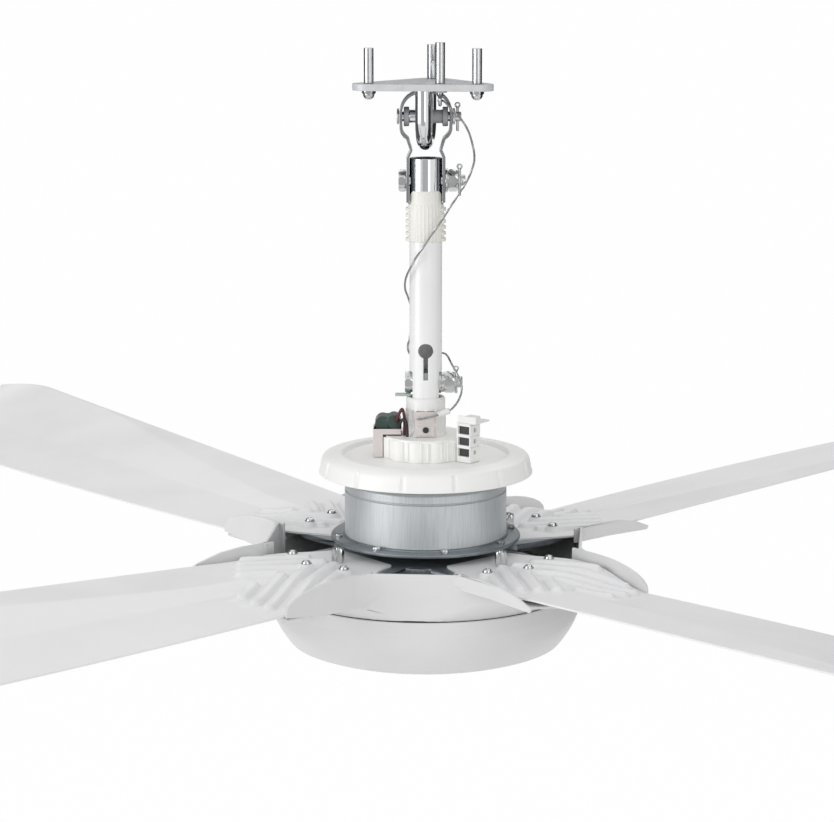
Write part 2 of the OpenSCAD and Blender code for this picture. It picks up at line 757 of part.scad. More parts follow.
module terminal_flap() {
    color("white") block_place() translate([-block_w / 2 + 2, -block_w / 2 - 1, block_h + 2 * seat]) {
        cube([flap_w, flap_w + 2, flap_t]);
        translate([0, 0, flap_t - eps]) cube([flap_w, flap_t, 4.4]);
        translate([3, 6, flap_t - eps]) cube([10, 8, 3.4]);
    }
}

// Safety wire, in three lengths that meet end to end
crimp_from = [19.6, -18.6, rod_end];
crimp_to = [10.4, -21.8, rod_end - 2.8];
upper_points = [
    [9.4, -23, eye_z - 3.6], [14, -23.4, eye_z - 3.8], [20, -24.4, eye_z - 9.6], [27.6, -25, -27.5],
    [34, -25, -37.6], [38, -24.6, -50], [39.4, -23.6, -61], [37.2, -22.6, -70.5], [32.6, -21.8, -81],
    [28, -21.2, -88], [23.9, -20.6, -94.6], [19, -20, -102], [14.2, -19.8, -109.8], [9.6, -19.6, -116.6],
    [5, -19.2, -123], [0.2, -18.8, -130.4], [-4.6, -18, -137.5], [-8.8, -16.8, -144],
    [-12.4, -14.6, -151], [-15.6, -11, -158], [-17.2, -5, -165], [-17, 1.6, -172], [-14.8, 8, -179],
    [-12.4, 12.4, -188], [-12, 13.4, -200], [-13.2, 12, -212], [-15, 10, -222], [-12, 13.2, -229],
    [-4, 17, -230], [8.6, 15, -228], [16.6, 8, -227], [21.6, 0, -234], [26, -8, -241]
];
lower_points = [[29.6, -11.4, -249], [29.4, -13.4, -257], [26, -15.4, rod_end + 6], crimp_from];
strand_points = [crimp_to, [4.4, -22, rod_end - 4.6], [-1.6, -21.2, rod_end - 6],
    [-7.4, -20.3, rod_end - 7]];
wire_path = concat(curve(concat(upper_points, lower_points), 2), curve(strand_points, 2));

module safety_wire() {
    color("silver") tube_along(wire_path, wire_d, wire_sides);
}

module wire_sleeve() {
    way = crimp_to - crimp_from;
    color("white") translate(crimp_from) rotate([0, acos(way[2] / norm(way)), atan2(way[1], way[0])])
        translate([0, 0, 1]) difference() {
            cylinder(d = 5, h = norm(way) - 2);
            translate([0, 0, -1]) cylinder(d = wire_d + 2 * fit, h = norm(way));
        }
}

module earth_tab() {
    color("darkseagreen") translate([0, 0, collar_top + seat]) difference() {
        translate([-collar_r - 9.2, -3, 0]) cube([13, 6, 2]);
        translate([-collar_r - 6, 0, -1]) cylinder(d = 2.6, h = 4);
    }
}

// Motor
module motor_shaft() {
    color("silver") difference() {
        union() {
            translate([0, 0, shaft_bottom]) cylinder(r = shaft_r, h = rod_end - shaft_bottom - seat);
            rod_section(coupler_r, flat_in - 0.1, rod_end - seat, flat_top - seat);
        }
        translate([0, 0, lower_bolt_z]) along_x(-2 * rod_r) cylinder(r = bolt_hole_r, h = 4 * rod_r);
    }
}

module shaft_clip() {
    color("dimgray") translate([0, 0, lower_bearing_z - seat - 1.2]) difference() {
        cylinder(r = shaft_r + 3, h = 1.2);
        translate([0, 0, -1]) cylinder(r = shaft_r + run_fit, h = 4);
    }
}

module stator_core() {
    slots = 18;
    color("slategray") translate([0, 0, stator_z]) difference() {
        cylinder(r = stator_r, h = stator_h, $fn = 96);
        translate([0, 0, -1]) cylinder(r = shaft_r + run_fit, h = stator_h + 2);
        for (i = [0:slots - 1])
            rotate([0, 0, 360 / slots * i]) translate([stator_r - slot_depth, -slot_w / 2, -1])
                cube([slot_depth + 1, slot_w, stator_h + 2]);
    }
}

module windings() {
    color("peru") for (s = [0, 1])
        translate([0, 0, s == 0 ? stator_z - coil_h : stator_z + stator_h]) difference() {
            cylinder(r = stator_r - 4, h = coil_h);
            translate([0, 0, -1]) cylinder(r = stator_r - slot_depth - 2, h = coil_h + 2);
        }
}

module bearings() {
    color("lightsteelblue") for (z = [upper_bearing_z, lower_bearing_z])
        translate([0, 0, z]) difference() {
            cylinder(d = bearing_d, h = bearing_w);
            translate([0, 0, -1]) cylinder(r = shaft_r + run_fit, h = bearing_w + 2);
            for (e = [-eps, bearing_w - 1 + eps])
                translate([0, 0, e]) difference() {
                    cylinder(r = bearing_d / 2 - 3, h = 1);
                    translate([0, 0, -1]) cylinder(r = shaft_r + 3, h = 3);
                }
        }
}

drum_floor = 4;

module motor_drum() {
    color("silver") difference() {
        union() {
            translate([0, 0, drum_bottom]) cylinder(r = drum_r, h = drum_h, $fn = 128);
            translate([0, 0, drum_bottom + drum_h - eps])
                cylinder(r = drum_r - 1.4, h = groove_h, $fn = 128);
        }
        translate([0, 0, drum_bottom + drum_floor]) cylinder(r = drum_r - drum_wall, h = drum_h + 5);
        translate([0, 0, drum_bottom - 1]) cylinder(r = lid_bore_r + 2.6, h = drum_h);
    }
}

module drum_lid() {
    z = drum_bottom + drum_h + groove_h;
    color("silver") difference() {
        rotate_extrude($fn = 128) polygon([
            [lid_bore_r, z + lid_h + 3], [lid_bore_r, upper_bearing_z], [lid_bore_r + 3.4, upper_bearing_z],
            [lid_bore_r + 3.4, z + 1], [drum_r - 6, z], [drum_r, z], [drum_r, z + lid_h - 2.4],
            [drum_r - 2, z + lid_h], [lid_bore_r + 6, z + lid_h + 1], [lid_bore_r + 4, z + lid_h + 3]
        ]);
        for (a = [0:45:315])
            rotate([0, 0, a]) translate([drum_r - 14, 0, z - 1]) cylinder(d = 9, h = lid_h + 4);
    }
}

module magnet_ring() {
    color("dimgray") translate([0, 0, stator_z - 2]) difference() {
        cylinder(r = magnet_in + magnet_t, h = stator_h + 4, $fn = 96);
        translate([0, 0, -1]) cylinder(r = magnet_in, h = stator_h + 6, $fn = 96);
    }
}

module motor_base() {
    z = drum_bottom;
    color("gray") difference() {
        rotate_extrude($fn = 96) polygon([
            [lid_bore_r, z + drum_floor], [lid_bore_r, lower_bearing_z - 1.6],
            [shaft_r + 4, lower_bearing_z - 1.6], [shaft_r + 4, holder_top], [base_r, holder_top],
            [drum_r - 12.3, z - 8], [drum_r - 3, z - 5.4], [flange_r - 1, z - 4.4], [flange_r, z - 3.8],
            [flange_r, z - 1.8], [flange_r - 0.6, z - 1.4], [drum_r + 1.6, z - 1.4], [drum_r + 1, z - eps],
            [lid_bore_r + 2.4, z - eps], [lid_bore_r + 2.4, z + drum_floor]
        ]);
        for (a = [0:90:270])
            rotate([0, 0, a]) translate([base_r - 7, 0, holder_top - 1]) cylinder(d = 5.2, h = 8);
    }
}

module blade_holder() {
    arm = [[flat_to - 101, 46], [flat_to - 41, 50], [flat_to - 5, 40], [flat_to, 20]];
    color([0.16, 0.17, 0.18]) difference() {
        union() {
            translate([0, 0, holder_under]) cylinder(r = drum_r + 9.7, h = holder_t, $fn = 96);
            each_blade() translate([0, 0, holder_under]) linear_extrude(holder_t)
                polygon(concat(arm, [for (k = [len(arm) - 1:-1:0]) [arm[k][0], -arm[k][1]]]));
        }
        translate([0, 0, holder_under - 1]) cylinder(r = shaft_r + 2, h = holder_t + 2);
        each_blade() {
            for (p = screw_spots)
                translate([p[0], p[1], holder_under - 1])
                cylinder(d = blade_screw_d + 2 * fit, h = holder_t + 2);
            translate([post_r, 0, holder_under - 1]) cylinder(d = post_d + 2 * fit, h = holder_t + 2);
        }
    }
}

module each_blade() {
    for (i = [0:3]) rotate([0, 0, blade_turn + 90 * i]) children();
}

module holder_posts() {
    color("silver") each_blade() translate([post_r, 0, 0]) {
        translate([0, 0, holder_under - 3]) cylinder(d = post_d, h = holder_t + 3 + blade_t + seat);
        translate([0, 0, holder_top + blade_t + seat / 2]) hex(post_hex, post_hex_h);
    }
}

// Blade sheet: edges and height as functions of radius, pressed out of one sheet
function along(r) = (r - mid_r) / slope_r;
function root_k(r) = ease((r - flat_to) / (twist_to - flat_to));
function widen(r) = ease((r - blade_root_r) / 60);
function lead_y(r) = -(lead_mid + 10.4 * along(max(r, twist_to))) * mix(0.6, 1, widen(r));
function trail_y(r) = (trail_mid + 16.5 * along(max(r, twist_to)) - 10.7 * pow(along(max(r, twist_to)), 2))
    * mix(0.56, 0.97, widen(r)) * mix(1, 1 / 0.97, root_k(r));
function tip_k(r) = r < sweep_r - 40 ? 0 : (r - sweep_r + 40) / 40;
function round_in(r) = 1 - sqrt(1 - pow(min(tip_k(r), 0.999), 2));
function lead_z(r) = mix(root_lift, lead_lift + 14.2 * along(r), root_k(r));
function trail_z(r) = mix(root_lift, -trail_fall + 3 * along(r), root_k(r));
function chord_k(j) = [0, 0.1, 0.24, 0.4, 0.55, 0.78, 1][j];
function camber(r, k) = root_k(r) * (k < 0.24 ? 3 * k / 0.24 : k < 0.55 ? mix(3, -0.6, (k - 0.24) / 0.31)
    : mix(-0.6, 0, (k - 0.55) / 0.45));
function blade_point(r, j, lift) = let(k = chord_k(j), y0 = lead_y(r), y1 = trail_y(r),
    yc = (y0 + y1) / 2, y = mix(y0, y1, k))
    [r, mix(y, yc, round_in(r) * 0.5), mix(lead_z(r), trail_z(r), k) + camber(r, k) + lift];
twist_to = flat_to + 59;
blade_radii = concat([for (i = [0:4]) mix(blade_root_r, flat_to, i / 5)],
    [for (i = [0:4]) mix(flat_to, twist_to, i / 5)], [for (i = [0:6]) mix(twist_to, sweep_r - 40, i / 6)],
    [sweep_r - 26, sweep_r - 12, sweep_r - 3, sweep_r]);

// A solid that follows the sheet's form over some of its radii, between two heights above its middle
module sheet_solid(radii, low, high) {
    n = 7;
    rows = len(radii);
    ring = 2 * n;
    pts = [for (r = radii) each concat(
        [for (j = [0:n - 1]) blade_point(r, j, high)], [for (j = [n - 1:-1:0]) blade_point(r, j, low)])];
    walls = [for (i = [0:rows - 2]) for (k = [0:ring - 1])
        let(a = i * ring + k, b = i * ring + (k + 1) % ring)
        each [[a, b, b + ring], [a, b + ring, a + ring]]];
    last = (rows - 1) * ring;
    caps = [for (k = [0:n - 2]) each [
        [k, ring - 2 - k, k + 1], [k, ring - 1 - k, ring - 2 - k],
        [last + k, last + k + 1, last + ring - 2 - k],
        [last + k, last + ring - 2 - k, last + ring - 1 - k]]];
    polyhedron(pts, concat(walls, caps));
}

// Outline of one embossed rib, which leans towards the blade's middle as it runs outwards
module rib_outline(i) {
    k = root_ribs > 1 ? i / (root_ribs - 1) : 0.5;
    from = [emboss_r0, mix(-emboss_half, emboss_half, k)];
    to = [mix(emboss_r1_lead, emboss_r1_trail, k), mix(-emboss_half, emboss_half, k) * 1.16];
    way = unit(to - from);
    translate(from) rotate(atan2(way[1], way[0])) union() {
        translate([0, -root_rib_w / 2]) square([norm(to - from), root_rib_w]);
        for (x = [0, norm(to - from)]) translate([x, 0]) circle(d = root_rib_w, $fn = 16);
    }
}

module embossed_ribs() {
    intersection() {
        sheet_solid([for (r = blade_radii) if (r < twist_to + 90) r], 0, blade_t / 2 + root_rib_h);
        translate([0, 0, -60]) union() {
            for (i = [0:root_ribs - 1]) linear_extrude(120) rib_outline(i);
            for (p = screw_spots) translate([p[0], p[1], 0]) cylinder(d = 2.3 * blade_screw_d, h = 120);
        }
    }
}

module blade(i) {
    color("gainsboro") rotate([0, 0, blade_turn + 90 * i]) translate([0, 0, blade_z]) difference() {
        union() {
            sheet_solid(blade_radii, -blade_t / 2, blade_t / 2);
            embossed_ribs();
        }
        for (p = screw_spots)
            translate([p[0], p[1], -20]) cylinder(d = blade_screw_d + 2 * fit, h = 40);
        translate([post_r, 0, -20]) cylinder(d = post_d + 2 * fit, h = 40);
    }
}

module blade_screws() {
    color("silver") each_blade() for (p = screw_spots) translate([p[0], p[1], blade_z]) {
        translate([0, 0, -9.5]) cylinder(d = blade_screw_d, h = 9.5 + rib_top + 1);
        translate([0, 0, rib_top + fit]) cylinder(d = blade_screw_d * 1.9, h = 1);
        translate([0, 0, rib_top + fit + 1 - eps])
            cylinder(d1 = blade_screw_d * 1.7, d2 = blade_screw_d * 1.1, h = 2.6);
    }
}

// Hub cover: a square-topped band with a fairing round each blade root
module band_form(inset) {
    hull() {
        translate([0, 0, seam_z]) cylinder(r = seam_r - inset, h = 1, $fn = 96);
        rotate([0, 0, blade_turn - 45]) translate([0, 0, blade_z + side_top - 0.5])
            cube([2 * (side_dist - inset), 2 * (side_dist - inset), 1], center = true);
    }
}

tray_drop = 9.5;
tray_fall = 0.115;
tray_angle = atan(tray_fall);
tray_from = bowl_r + 13;
wall_from = bowl_r - 18;
curve_from = bowl_r + 10;
trail_low = -tray_drop - trail_wall_y * tray_fall + 2;
trail_curve = [for (i = [1:7]) let(a = i * 90 / 7)
    [mix(curve_from, fairing_end, sin(a)), mix(trail_low + 4, side_top, cos(a))]];
trail_wall = concat([[wall_from, side_top], [curve_from, side_top]], trail_curve,
    [[fairing_end, trail_low], [fairing_end - 39, trail_low - 4.4], [wall_from, trail_low - 5]]);
lead_wall = [[wall_from, side_top], [bowl_r + 14, side_top + 1], [bowl_r + 36, side_top - 0.4],
    [fairing_end - 10, side_top - 5.6], [fairing_end + 3, -3], [fairing_end + 1, -6], [bowl_r + 24, -4.4],
    [wall_from, -4.4]];

module fairing_wall(points, y) {
    translate([0, y + cover_wall, 0]) rotate([90, 0, 0]) linear_extrude(cover_wall) polygon(points);
}

module fairing_tray() {
    translate([0, 0, -tray_drop]) rotate([-tray_angle, 0, 0]) translate([0, 0, -cover_wall])
        linear_extrude(cover_wall)
        polygon([[tray_from, -lead_wall_y - 1], [fairing_end - 2, -lead_wall_y - 1], [fairing_end + 3, -30],
            [fairing_end + 4, 0], [fairing_end + 3, 30], [fairing_end - 3, trail_wall_y + 1],
            [tray_from, trail_wall_y + 1]]);
}

module channel() {
    translate([0, 0, blade_z - tray_drop]) rotate([-tray_angle, 0, 0])
        translate([bowl_r - 70, -lead_wall_y - 0.6, -eps])
        cube([2 * fairing_end, lead_wall_y + trail_wall_y + 1, 60]);
}

module hub_cover() {
    color("white") {
        difference() {
            union() {
                difference() {
                    band_form(0);
                    band_form(cover_wall);
                }
                each_blade() translate([0, 0, blade_z]) fairing_tray();
            }
            each_blade() channel();
            translate([0, 0, seam_z - 2]) cylinder(r = seam_r - 14, h = 60);
        }
        translate([0, 0, seam_z]) difference() {
            cylinder(r = seam_r - 0.4, h = 1.5, $fn = 96);
            translate([0, 0, -1]) cylinder(r = seam_r - 16, h = 4);
            each_blade() translate([seam_r - 9, 0, -1]) cylinder(d = 4.4, h = 4);
        }
        each_blade() translate([0, 0, blade_z]) {
            fairing_wall(trail_wall, trail_wall_y);
            fairing_wall(lead_wall, -lead_wall_y - cover_wall);
        }
    }
}

module inner_shield() {
    z = holder_under;
    rim = seam_z + 1.5;
    color([0.12, 0.12, 0.13]) difference() {
        rotate_extrude($fn = 96) polygon([
            [14, z], [62, z], [seam_r - 18, rim + shield_t], [seam_r - 4, rim + shield_t], [seam_r - 4, rim],
            [seam_r - 18.6, rim], [61, z - shield_t], [14, z - shield_t]
        ]);
        each_blade() {
            translate([post_r, 0, z - 30]) cylinder(d = 14, h = 40);
            for (p = screw_spots) translate([p[0], p[1], z - 30]) cylinder(d = 9, h = 40);
            translate([seam_r - 9, 0, z - 40]) cylinder(d = 4.4, h = 60);
        }
    }
}

// The bowl's outer curve: a steep side down to a soft crease, then a flat dome
crease_r = bowl_r * 0.908;
crease_drop = bowl_h * 0.61;
function side_point(a, t) = [bowl_r + 0.8 - t - (bowl_r + 0.8 - crease_r) * (1 - cos(a)) / (1 - cos(60)),
    -16 - (crease_drop - 16 - t * 0.7) * sin(a) / sin(60)];
function dome_point(k, t) = [crease_r * k - (k > 0.9 ? t : 0),
    -bowl_h + t + (bowl_h - crease_drop) * pow(k, 4)];
function bowl_curve(t) = concat([[bowl_r - t, t > 0 ? -t : 0]], [for (i = [0:5]) side_point(i * 12, t)],
    [for (i = [10:-1:0]) dome_point(i / 10, t)]);

module bottom_bowl() {
    top = seam_z - seat;
    outer = bowl_curve(0);
    inner = bowl_curve(cover_wall);
    color("white") difference() {
        translate([0, 0, top]) rotate_extrude($fn = 128) polygon(concat([[seam_r - 16, 0]], outer,
            [for (i = [len(inner) - 1:-1:0]) inner[i]], [[seam_r - 16, -cover_wall]]));
        each_blade() translate([seam_r - 9, 0, top - 3]) cylinder(d = 4.4, h = 5);
    }
}

module cover_screws() {
    color("silver") each_blade() translate([seam_r - 9, 0, seam_z]) {
        translate([0, 0, -6]) cylinder(d = 4, h = 6 + 1.5 + shield_t + eps);
        translate([0, 0, 1.5 + shield_t]) cylinder(d = 8, h = 2.4);
    }
}

ceiling_plate();
hanger_hook();
anchor_studs();
anchor_nuts();
safety_anchor();
safety_nut();
hanger_roller();
shackle();
hanger_pin();
hanger_washers();
clamp_bolts();
clamp_washers();
clamp_nuts();
split_pins();
downrod();
rod_sleeve();
neck();
neck_panel();
panel_screws();
fluted_hub();
top_cover();
capacitor();
capacitor_tray();
lead_brown();
lead_black();
terminal_block();
terminal_screws();
terminal_flap();
safety_wire();
wire_sleeve();
earth_tab();
motor_shaft();
shaft_clip();
stator_core();
windings();
bearings();
motor_drum();
drum_lid();
magnet_ring();
motor_base();
blade_holder();
holder_posts();
blade(0);  // blade_1
blade(1);  // blade_2
blade(2);  // blade_3
blade(3);  // blade_4
blade_screws();
hub_cover();
inner_shield();
bottom_bowl();
cover_screws();
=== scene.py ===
# Four-blade ceiling fan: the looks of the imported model. Sizes in the dictionaries are in millimetres.
import math

import bmesh
import bpy
from mathutils import Matrix, Vector
from mathutils.bvhtree import BVHTree


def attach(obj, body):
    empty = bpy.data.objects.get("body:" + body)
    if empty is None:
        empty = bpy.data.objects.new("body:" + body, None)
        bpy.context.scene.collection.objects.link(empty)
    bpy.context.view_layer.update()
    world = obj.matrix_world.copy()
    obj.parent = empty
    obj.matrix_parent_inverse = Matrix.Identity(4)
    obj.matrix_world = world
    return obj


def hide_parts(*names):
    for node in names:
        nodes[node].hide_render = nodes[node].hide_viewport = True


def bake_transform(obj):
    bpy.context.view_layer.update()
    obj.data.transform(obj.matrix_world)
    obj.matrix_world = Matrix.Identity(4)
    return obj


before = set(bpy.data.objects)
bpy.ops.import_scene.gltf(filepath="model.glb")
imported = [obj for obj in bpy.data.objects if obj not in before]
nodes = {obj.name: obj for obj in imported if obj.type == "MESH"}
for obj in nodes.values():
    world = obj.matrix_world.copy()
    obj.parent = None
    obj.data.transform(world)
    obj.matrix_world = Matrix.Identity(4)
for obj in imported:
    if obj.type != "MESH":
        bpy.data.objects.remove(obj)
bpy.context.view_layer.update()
scene = bpy.context.scene

fan = {
    "bladeTurn": 40.4,  # degrees from the X axis to the first blade
    "bladePlane": -389.5,
    "rollerAxis": -28.2,
    "upperBolt": -80.7,
    "lowerBolt": -249.5,
    "coverFloor": -312.0,
    "drumFoot": -377.9,
}

# Camera: the photograph's angle, found from the rims of the bowl, the drum and the top cover
camera = {"lens": 105.15, "sensor": 36, "place": (-7.283, -2008.85, 111.37), "down": 10.869}
cameraData = bpy.data.cameras.new("photoCamera")
cameraData.lens = camera["lens"]
cameraData.sensor_width = camera["sensor"]
cameraData.clip_end = 1000
cameraObject = bpy.data.objects.new("photoCamera", cameraData)
scene.collection.objects.link(cameraObject)
cameraObject.location = Vector(camera["place"]) / 1000
cameraObject.rotation_euler = (math.radians(90 - camera["down"]), 0, 0)
scene.camera = cameraObject
print("camera placed")


# A shape is a pair of lists, points in millimetres and faces, until makePiece turns it into an object
def together(*shapes):
    points, faces = [], []
    for shapePoints, shapeFaces in shapes:
        first = len(points)
        points += shapePoints
        faces += [[i + first for i in face] for face in shapeFaces]
    return points, faces


def moved(shape, x=0, y=0, z=0, turnX=0, turnY=0, turnZ=0):
    matrix = Matrix.Translation((x, y, z)) @ Matrix.Rotation(math.radians(turnZ), 4, "Z") \
        @ Matrix.Rotation(math.radians(turnY), 4, "Y") @ Matrix.Rotation(math.radians(turnX), 4, "X")
    return [tuple(matrix @ Vector(p)) for p in shape[0]], shape[1]


def loft(rows, closed=False, capped=True):
    points, faces, n = [p for row in rows for p in row], [], len(rows[0])
    for i in range(len(rows) if closed else len(rows) - 1):
        for k in range(n):
            a, b = i * n + k, i * n + (k + 1) % n
            after = (i + 1) % len(rows) * n
            faces.append([a, b, after + (k + 1) % n, after + k])
    if capped and not closed:
        faces += [list(range(n))[::-1], [len(points) - n + k for k in range(n)]]
    return points, faces


# A turned profile, closed on itself; wave(angle, index) may push its points in or out
def spun(profile, steps=96, wave=None):
    rows = []
    for i in range(steps):
        a = 2 * math.pi * i / steps
        push = [wave(a, k) if wave else 0 for k in range(len(profile))]
        rows.append([((r + p) * math.cos(a), (r + p) * math.sin(a), z) for (r, z), p in zip(profile, push)])
    return loft(rows, closed=True)


def raised(outline, low, high):
    return loft([[(x, y, low) for x, y in outline], [(x, y, high) for x, y in outline]])


def smoothPath(points, perSpan):
    result = []
    for i in range(len(points) - 1):
        four = points[max(i - 1, 0)], points[i], points[i + 1], points[min(i + 2, len(points) - 1)]
        for j in range(perSpan):
            k = j / perSpan
            result.append(tuple(0.5 * (2 * b + (c - a) * k + (2 * a - 5 * b + 4 * c - d) * k * k
                                       + (3 * b - a - 3 * c + d) * k ** 3) for a, b, c, d in zip(*four)))
    return result + [tuple(points[-1])]


def tube(path, radius, sides=12):
    path, rows, side = [Vector(p) for p in path], [], None
    for i, p in enumerate(path):
        way = (path[min(i + 1, len(path) - 1)] - path[max(i - 1, 0)]).normalized()
        side = side or way.orthogonal()
        side = (side - way * side.dot(way)).normalized()
        up = way.cross(side)
        turn = [2 * math.pi * k / sides for k in range(sides)]
        rows.append([tuple(p + (side * math.cos(a) + up * math.sin(a)) * radius) for a in turn])
    return loft(rows)


# A rod with a helical thread, chamfered at both ends
def threadedRod(radius, pitch, depth, low, high, sides=20):
    rows, steps = [], max(int((high - low) / pitch * 5), 4)
    for i in range(steps + 1):
        z = low + (high - low) * i / steps
        chamfer = max(0, depth * 1.4 - min(z - low, high - z))
        row = []
        for k in range(sides):
            a = 2 * math.pi * k / sides
            groove = depth * abs(2 * ((z / pitch - k / sides) % 1) - 1)
            r = radius - max(groove, chamfer)
            row.append((r * math.cos(a), r * math.sin(a), z))
        rows.append(row)
    return loft(rows)


# A hexagon whose corners are turned off at both ends, as on a nut or a bolt head
def hexagon(flats, low, high, steps=36):
    rows = []
    for z, limit in ((low, 1.02), (low + 0.09 * flats, 2), (high - 0.09 * flats, 2), (high, 1.02)):
        row = []
        for k in range(steps):
            a = 2 * math.pi * k / steps
            corner = 1 / math.cos((a + math.pi / 6) % (math.pi / 3) - math.pi / 6)
            r = flats / 2 * min(corner, limit)
            row.append((r * math.cos(a), r * math.sin(a), z))
        rows.append(row)
    return loft(rows)


def disc(radius, low, high, soft=0.3, steps=40):
    profile = [(0.01, low), (radius - soft, low), (radius, low + soft), (radius, high - soft), (radius - soft, high),
               (0.01, high)]
    return spun(profile, steps)


def linkMesh(name, mesh):
    piece = bpy.data.objects.new(name, mesh)
    scene.collection.objects.link(piece)
    return piece


def shadeMesh(mesh, smoothAngle):
    for face in mesh.polygons:
        face.use_smooth = True
    mesh.set_sharp_from_angle(angle=math.radians(smoothAngle))


def softenEdges(piece, width, angle):
    edge = piece.modifiers.new("softEdges", "BEVEL")
    edge.width = width / 1000
    edge.segments = 2
    edge.limit_method = "ANGLE"
    edge.angle_limit = math.radians(angle)
    edge.use_clamp_overlap = False


def makePiece(name, shape, finish, smoothAngle=32, bevel=0):
    mesh = bpy.data.meshes.new(name)
    mesh.from_pydata([(x / 1000, y / 1000, z / 1000) for x, y, z in shape[0]], [], shape[1])
    work = bmesh.new()
    work.from_mesh(mesh)
    bmesh.ops.remove_doubles(work, verts=work.verts, dist=1e-6)
    bmesh.ops.recalc_face_normals(work, faces=work.faces)
    work.to_mesh(mesh)
    work.free()
    mesh.materials.append(finishes[finish])
    shadeMesh(mesh, smoothAngle)
    piece = linkMesh(name, mesh)
    if bevel:
        softenEdges(piece, bevel, smoothAngle)
    return piece


# A copy of a CAD node with its flat faces merged and its edges softened
def softCopy(name, node, finish, width=0.35, angle=34):
    mesh = bpy.data.meshes.new(name)
    work = bmesh.new()
    work.from_mesh(nodes[node].data)
    bmesh.ops.remove_doubles(work, verts=work.verts, dist=2e-6)
    bmesh.ops.dissolve_limit(work, angle_limit=math.radians(0.6), verts=work.verts, edges=work.edges)
    bmesh.ops.recalc_face_normals(work, faces=work.faces)
    work.to_mesh(mesh)
    work.free()
    mesh.materials.append(finishes[finish])
    shadeMesh(mesh, angle)
    piece = linkMesh(name, mesh)
    if width:
        softenEdges(piece, width, angle)
    return piece


def fit(piece, body, slot, *replaced):
    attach(piece, body)
    if replaced:
        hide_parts(*replaced)
    return piece


# Shader groups shared by the finishes
def addInputs(tree, inputs):
    kinds = {float: "Float", int: "Int", tuple: "Vector"}
    for label, value in inputs.items():
        socket = tree.interface.new_socket(label, in_out="INPUT", socket_type="NodeSocket" + kinds[type(value)])
        socket.default_value = value


def newGroup(name, inputs, outputs):
    tree = bpy.data.node_groups.new(name, "ShaderNodeTree")
    addInputs(tree, inputs)
    for label in outputs:
        tree.interface.new_socket(label, in_out="OUTPUT", socket_type="NodeSocketFloat")
    return tree, tree.nodes.new("NodeGroupInput"), tree.nodes.new("NodeGroupOutput")


def addNode(tree, kind, settings=None, **links):
    node = tree.nodes.new(kind)
    for key, value in (settings or {}).items():
        setattr(node, key, value)
    for key, value in links.items():
        socket = node.inputs[int(key[1:])] if key[1:].isdigit() else node.inputs[key.replace("_", " ")]
        if isinstance(value, bpy.types.NodeSocket):
            tree.links.new(value, socket)
        else:
            socket.default_value = value
    return node


def mathNode(tree, operation, *values):
    links = {"i%d" % i: value for i, value in enumerate(values)}
    return addNode(tree, "ShaderNodeMath", {"operation": operation}, **links).outputs[0]


def rangeNode(tree, value, fromMin, fromMax, toMin, toMax):
    return addNode(tree, "ShaderNodeMapRange", Value=value, From_Min=fromMin, From_Max=fromMax, To_Min=toMin,
                   To_Max=toMax).outputs[0]


origin = (0.0, 0.0, 0.0)

# Moulded or painted skin: slow change of tone, orange peel, a little dust in specks
skinGroup, skinIn, skinOut = newGroup(
    "mouldedSkin",
    {"Place": origin, "Peel Size": 900.0, "Cloud Size": 14.0, "Cloud Depth": 0.04, "Speck Depth": 0.04},
    ["Tone", "Height", "Roughness Shift"])
place = skinIn.outputs["Place"]
cloud = addNode(skinGroup, "ShaderNodeTexNoise", Vector=place, Scale=skinIn.outputs["Cloud Size"], Detail=4.0)
peel = addNode(skinGroup, "ShaderNodeTexNoise", Vector=place, Scale=skinIn.outputs["Peel Size"], Detail=2.0)
speck = addNode(skinGroup, "ShaderNodeTexVoronoi", Vector=place, Scale=380.0)
speckMask = mathNode(skinGroup, "LESS_THAN", speck.outputs["Distance"], 0.1)
cloudShift = rangeNode(skinGroup, cloud.outputs["Fac"], 0.3, 0.7, -1.0, 1.0)
cloudTone = mathNode(skinGroup, "MULTIPLY_ADD", cloudShift, skinIn.outputs["Cloud Depth"], 1.0)
speckTone = mathNode(skinGroup, "MULTIPLY", speckMask, skinIn.outputs["Speck Depth"])
skinGroup.links.new(mathNode(skinGroup, "SUBTRACT", cloudTone, speckTone), skinOut.inputs["Tone"])
skinGroup.links.new(peel.outputs["Fac"], skinOut.inputs["Height"])
skinGroup.links.new(mathNode(skinGroup, "MULTIPLY", cloudShift, 0.05), skinOut.inputs["Roughness Shift"])

# Worked metal: drawn or turned lines along one axis, and blotches from plating
metalGroup, metalIn, metalOut = newGroup(
    "workedMetal",
    {"Place": origin, "Line Stretch": (1.0, 1.0, 0.05), "Line Size": 900.0, "Blotch Size": 45.0,
     "Blotch Depth": 0.12, "Line Depth": 0.03},
    ["Tone", "Height", "Roughness Shift"])
place = metalIn.outputs["Place"]
stretch = addNode(metalGroup, "ShaderNodeVectorMath", {"operation": "MULTIPLY"}, i0=place,
                  i1=metalIn.outputs["Line Stretch"])
metalLines = addNode(metalGroup, "ShaderNodeTexNoise", Vector=stretch.outputs[0], Scale=metalIn.outputs["Line Size"],
                     Detail=3.0)
blotch = addNode(metalGroup, "ShaderNodeTexNoise", Vector=place, Scale=metalIn.outputs["Blotch Size"], Detail=5.0,
                 Roughness=0.6)
blotchShift = rangeNode(metalGroup, blotch.outputs["Fac"], 0.3, 0.7, -1.0, 1.0)
blotchTone = mathNode(metalGroup, "MULTIPLY_ADD", blotchShift, metalIn.outputs["Blotch Depth"], 1.0)
lineShift = rangeNode(metalGroup, metalLines.outputs["Fac"], 0.3, 0.7, -1.0, 1.0)
metalGroup.links.new(mathNode(metalGroup, "MULTIPLY_ADD", lineShift, metalIn.outputs["Line Depth"], blotchTone),
                     metalOut.inputs["Tone"])
metalGroup.links.new(metalLines.outputs["Fac"], metalOut.inputs["Height"])
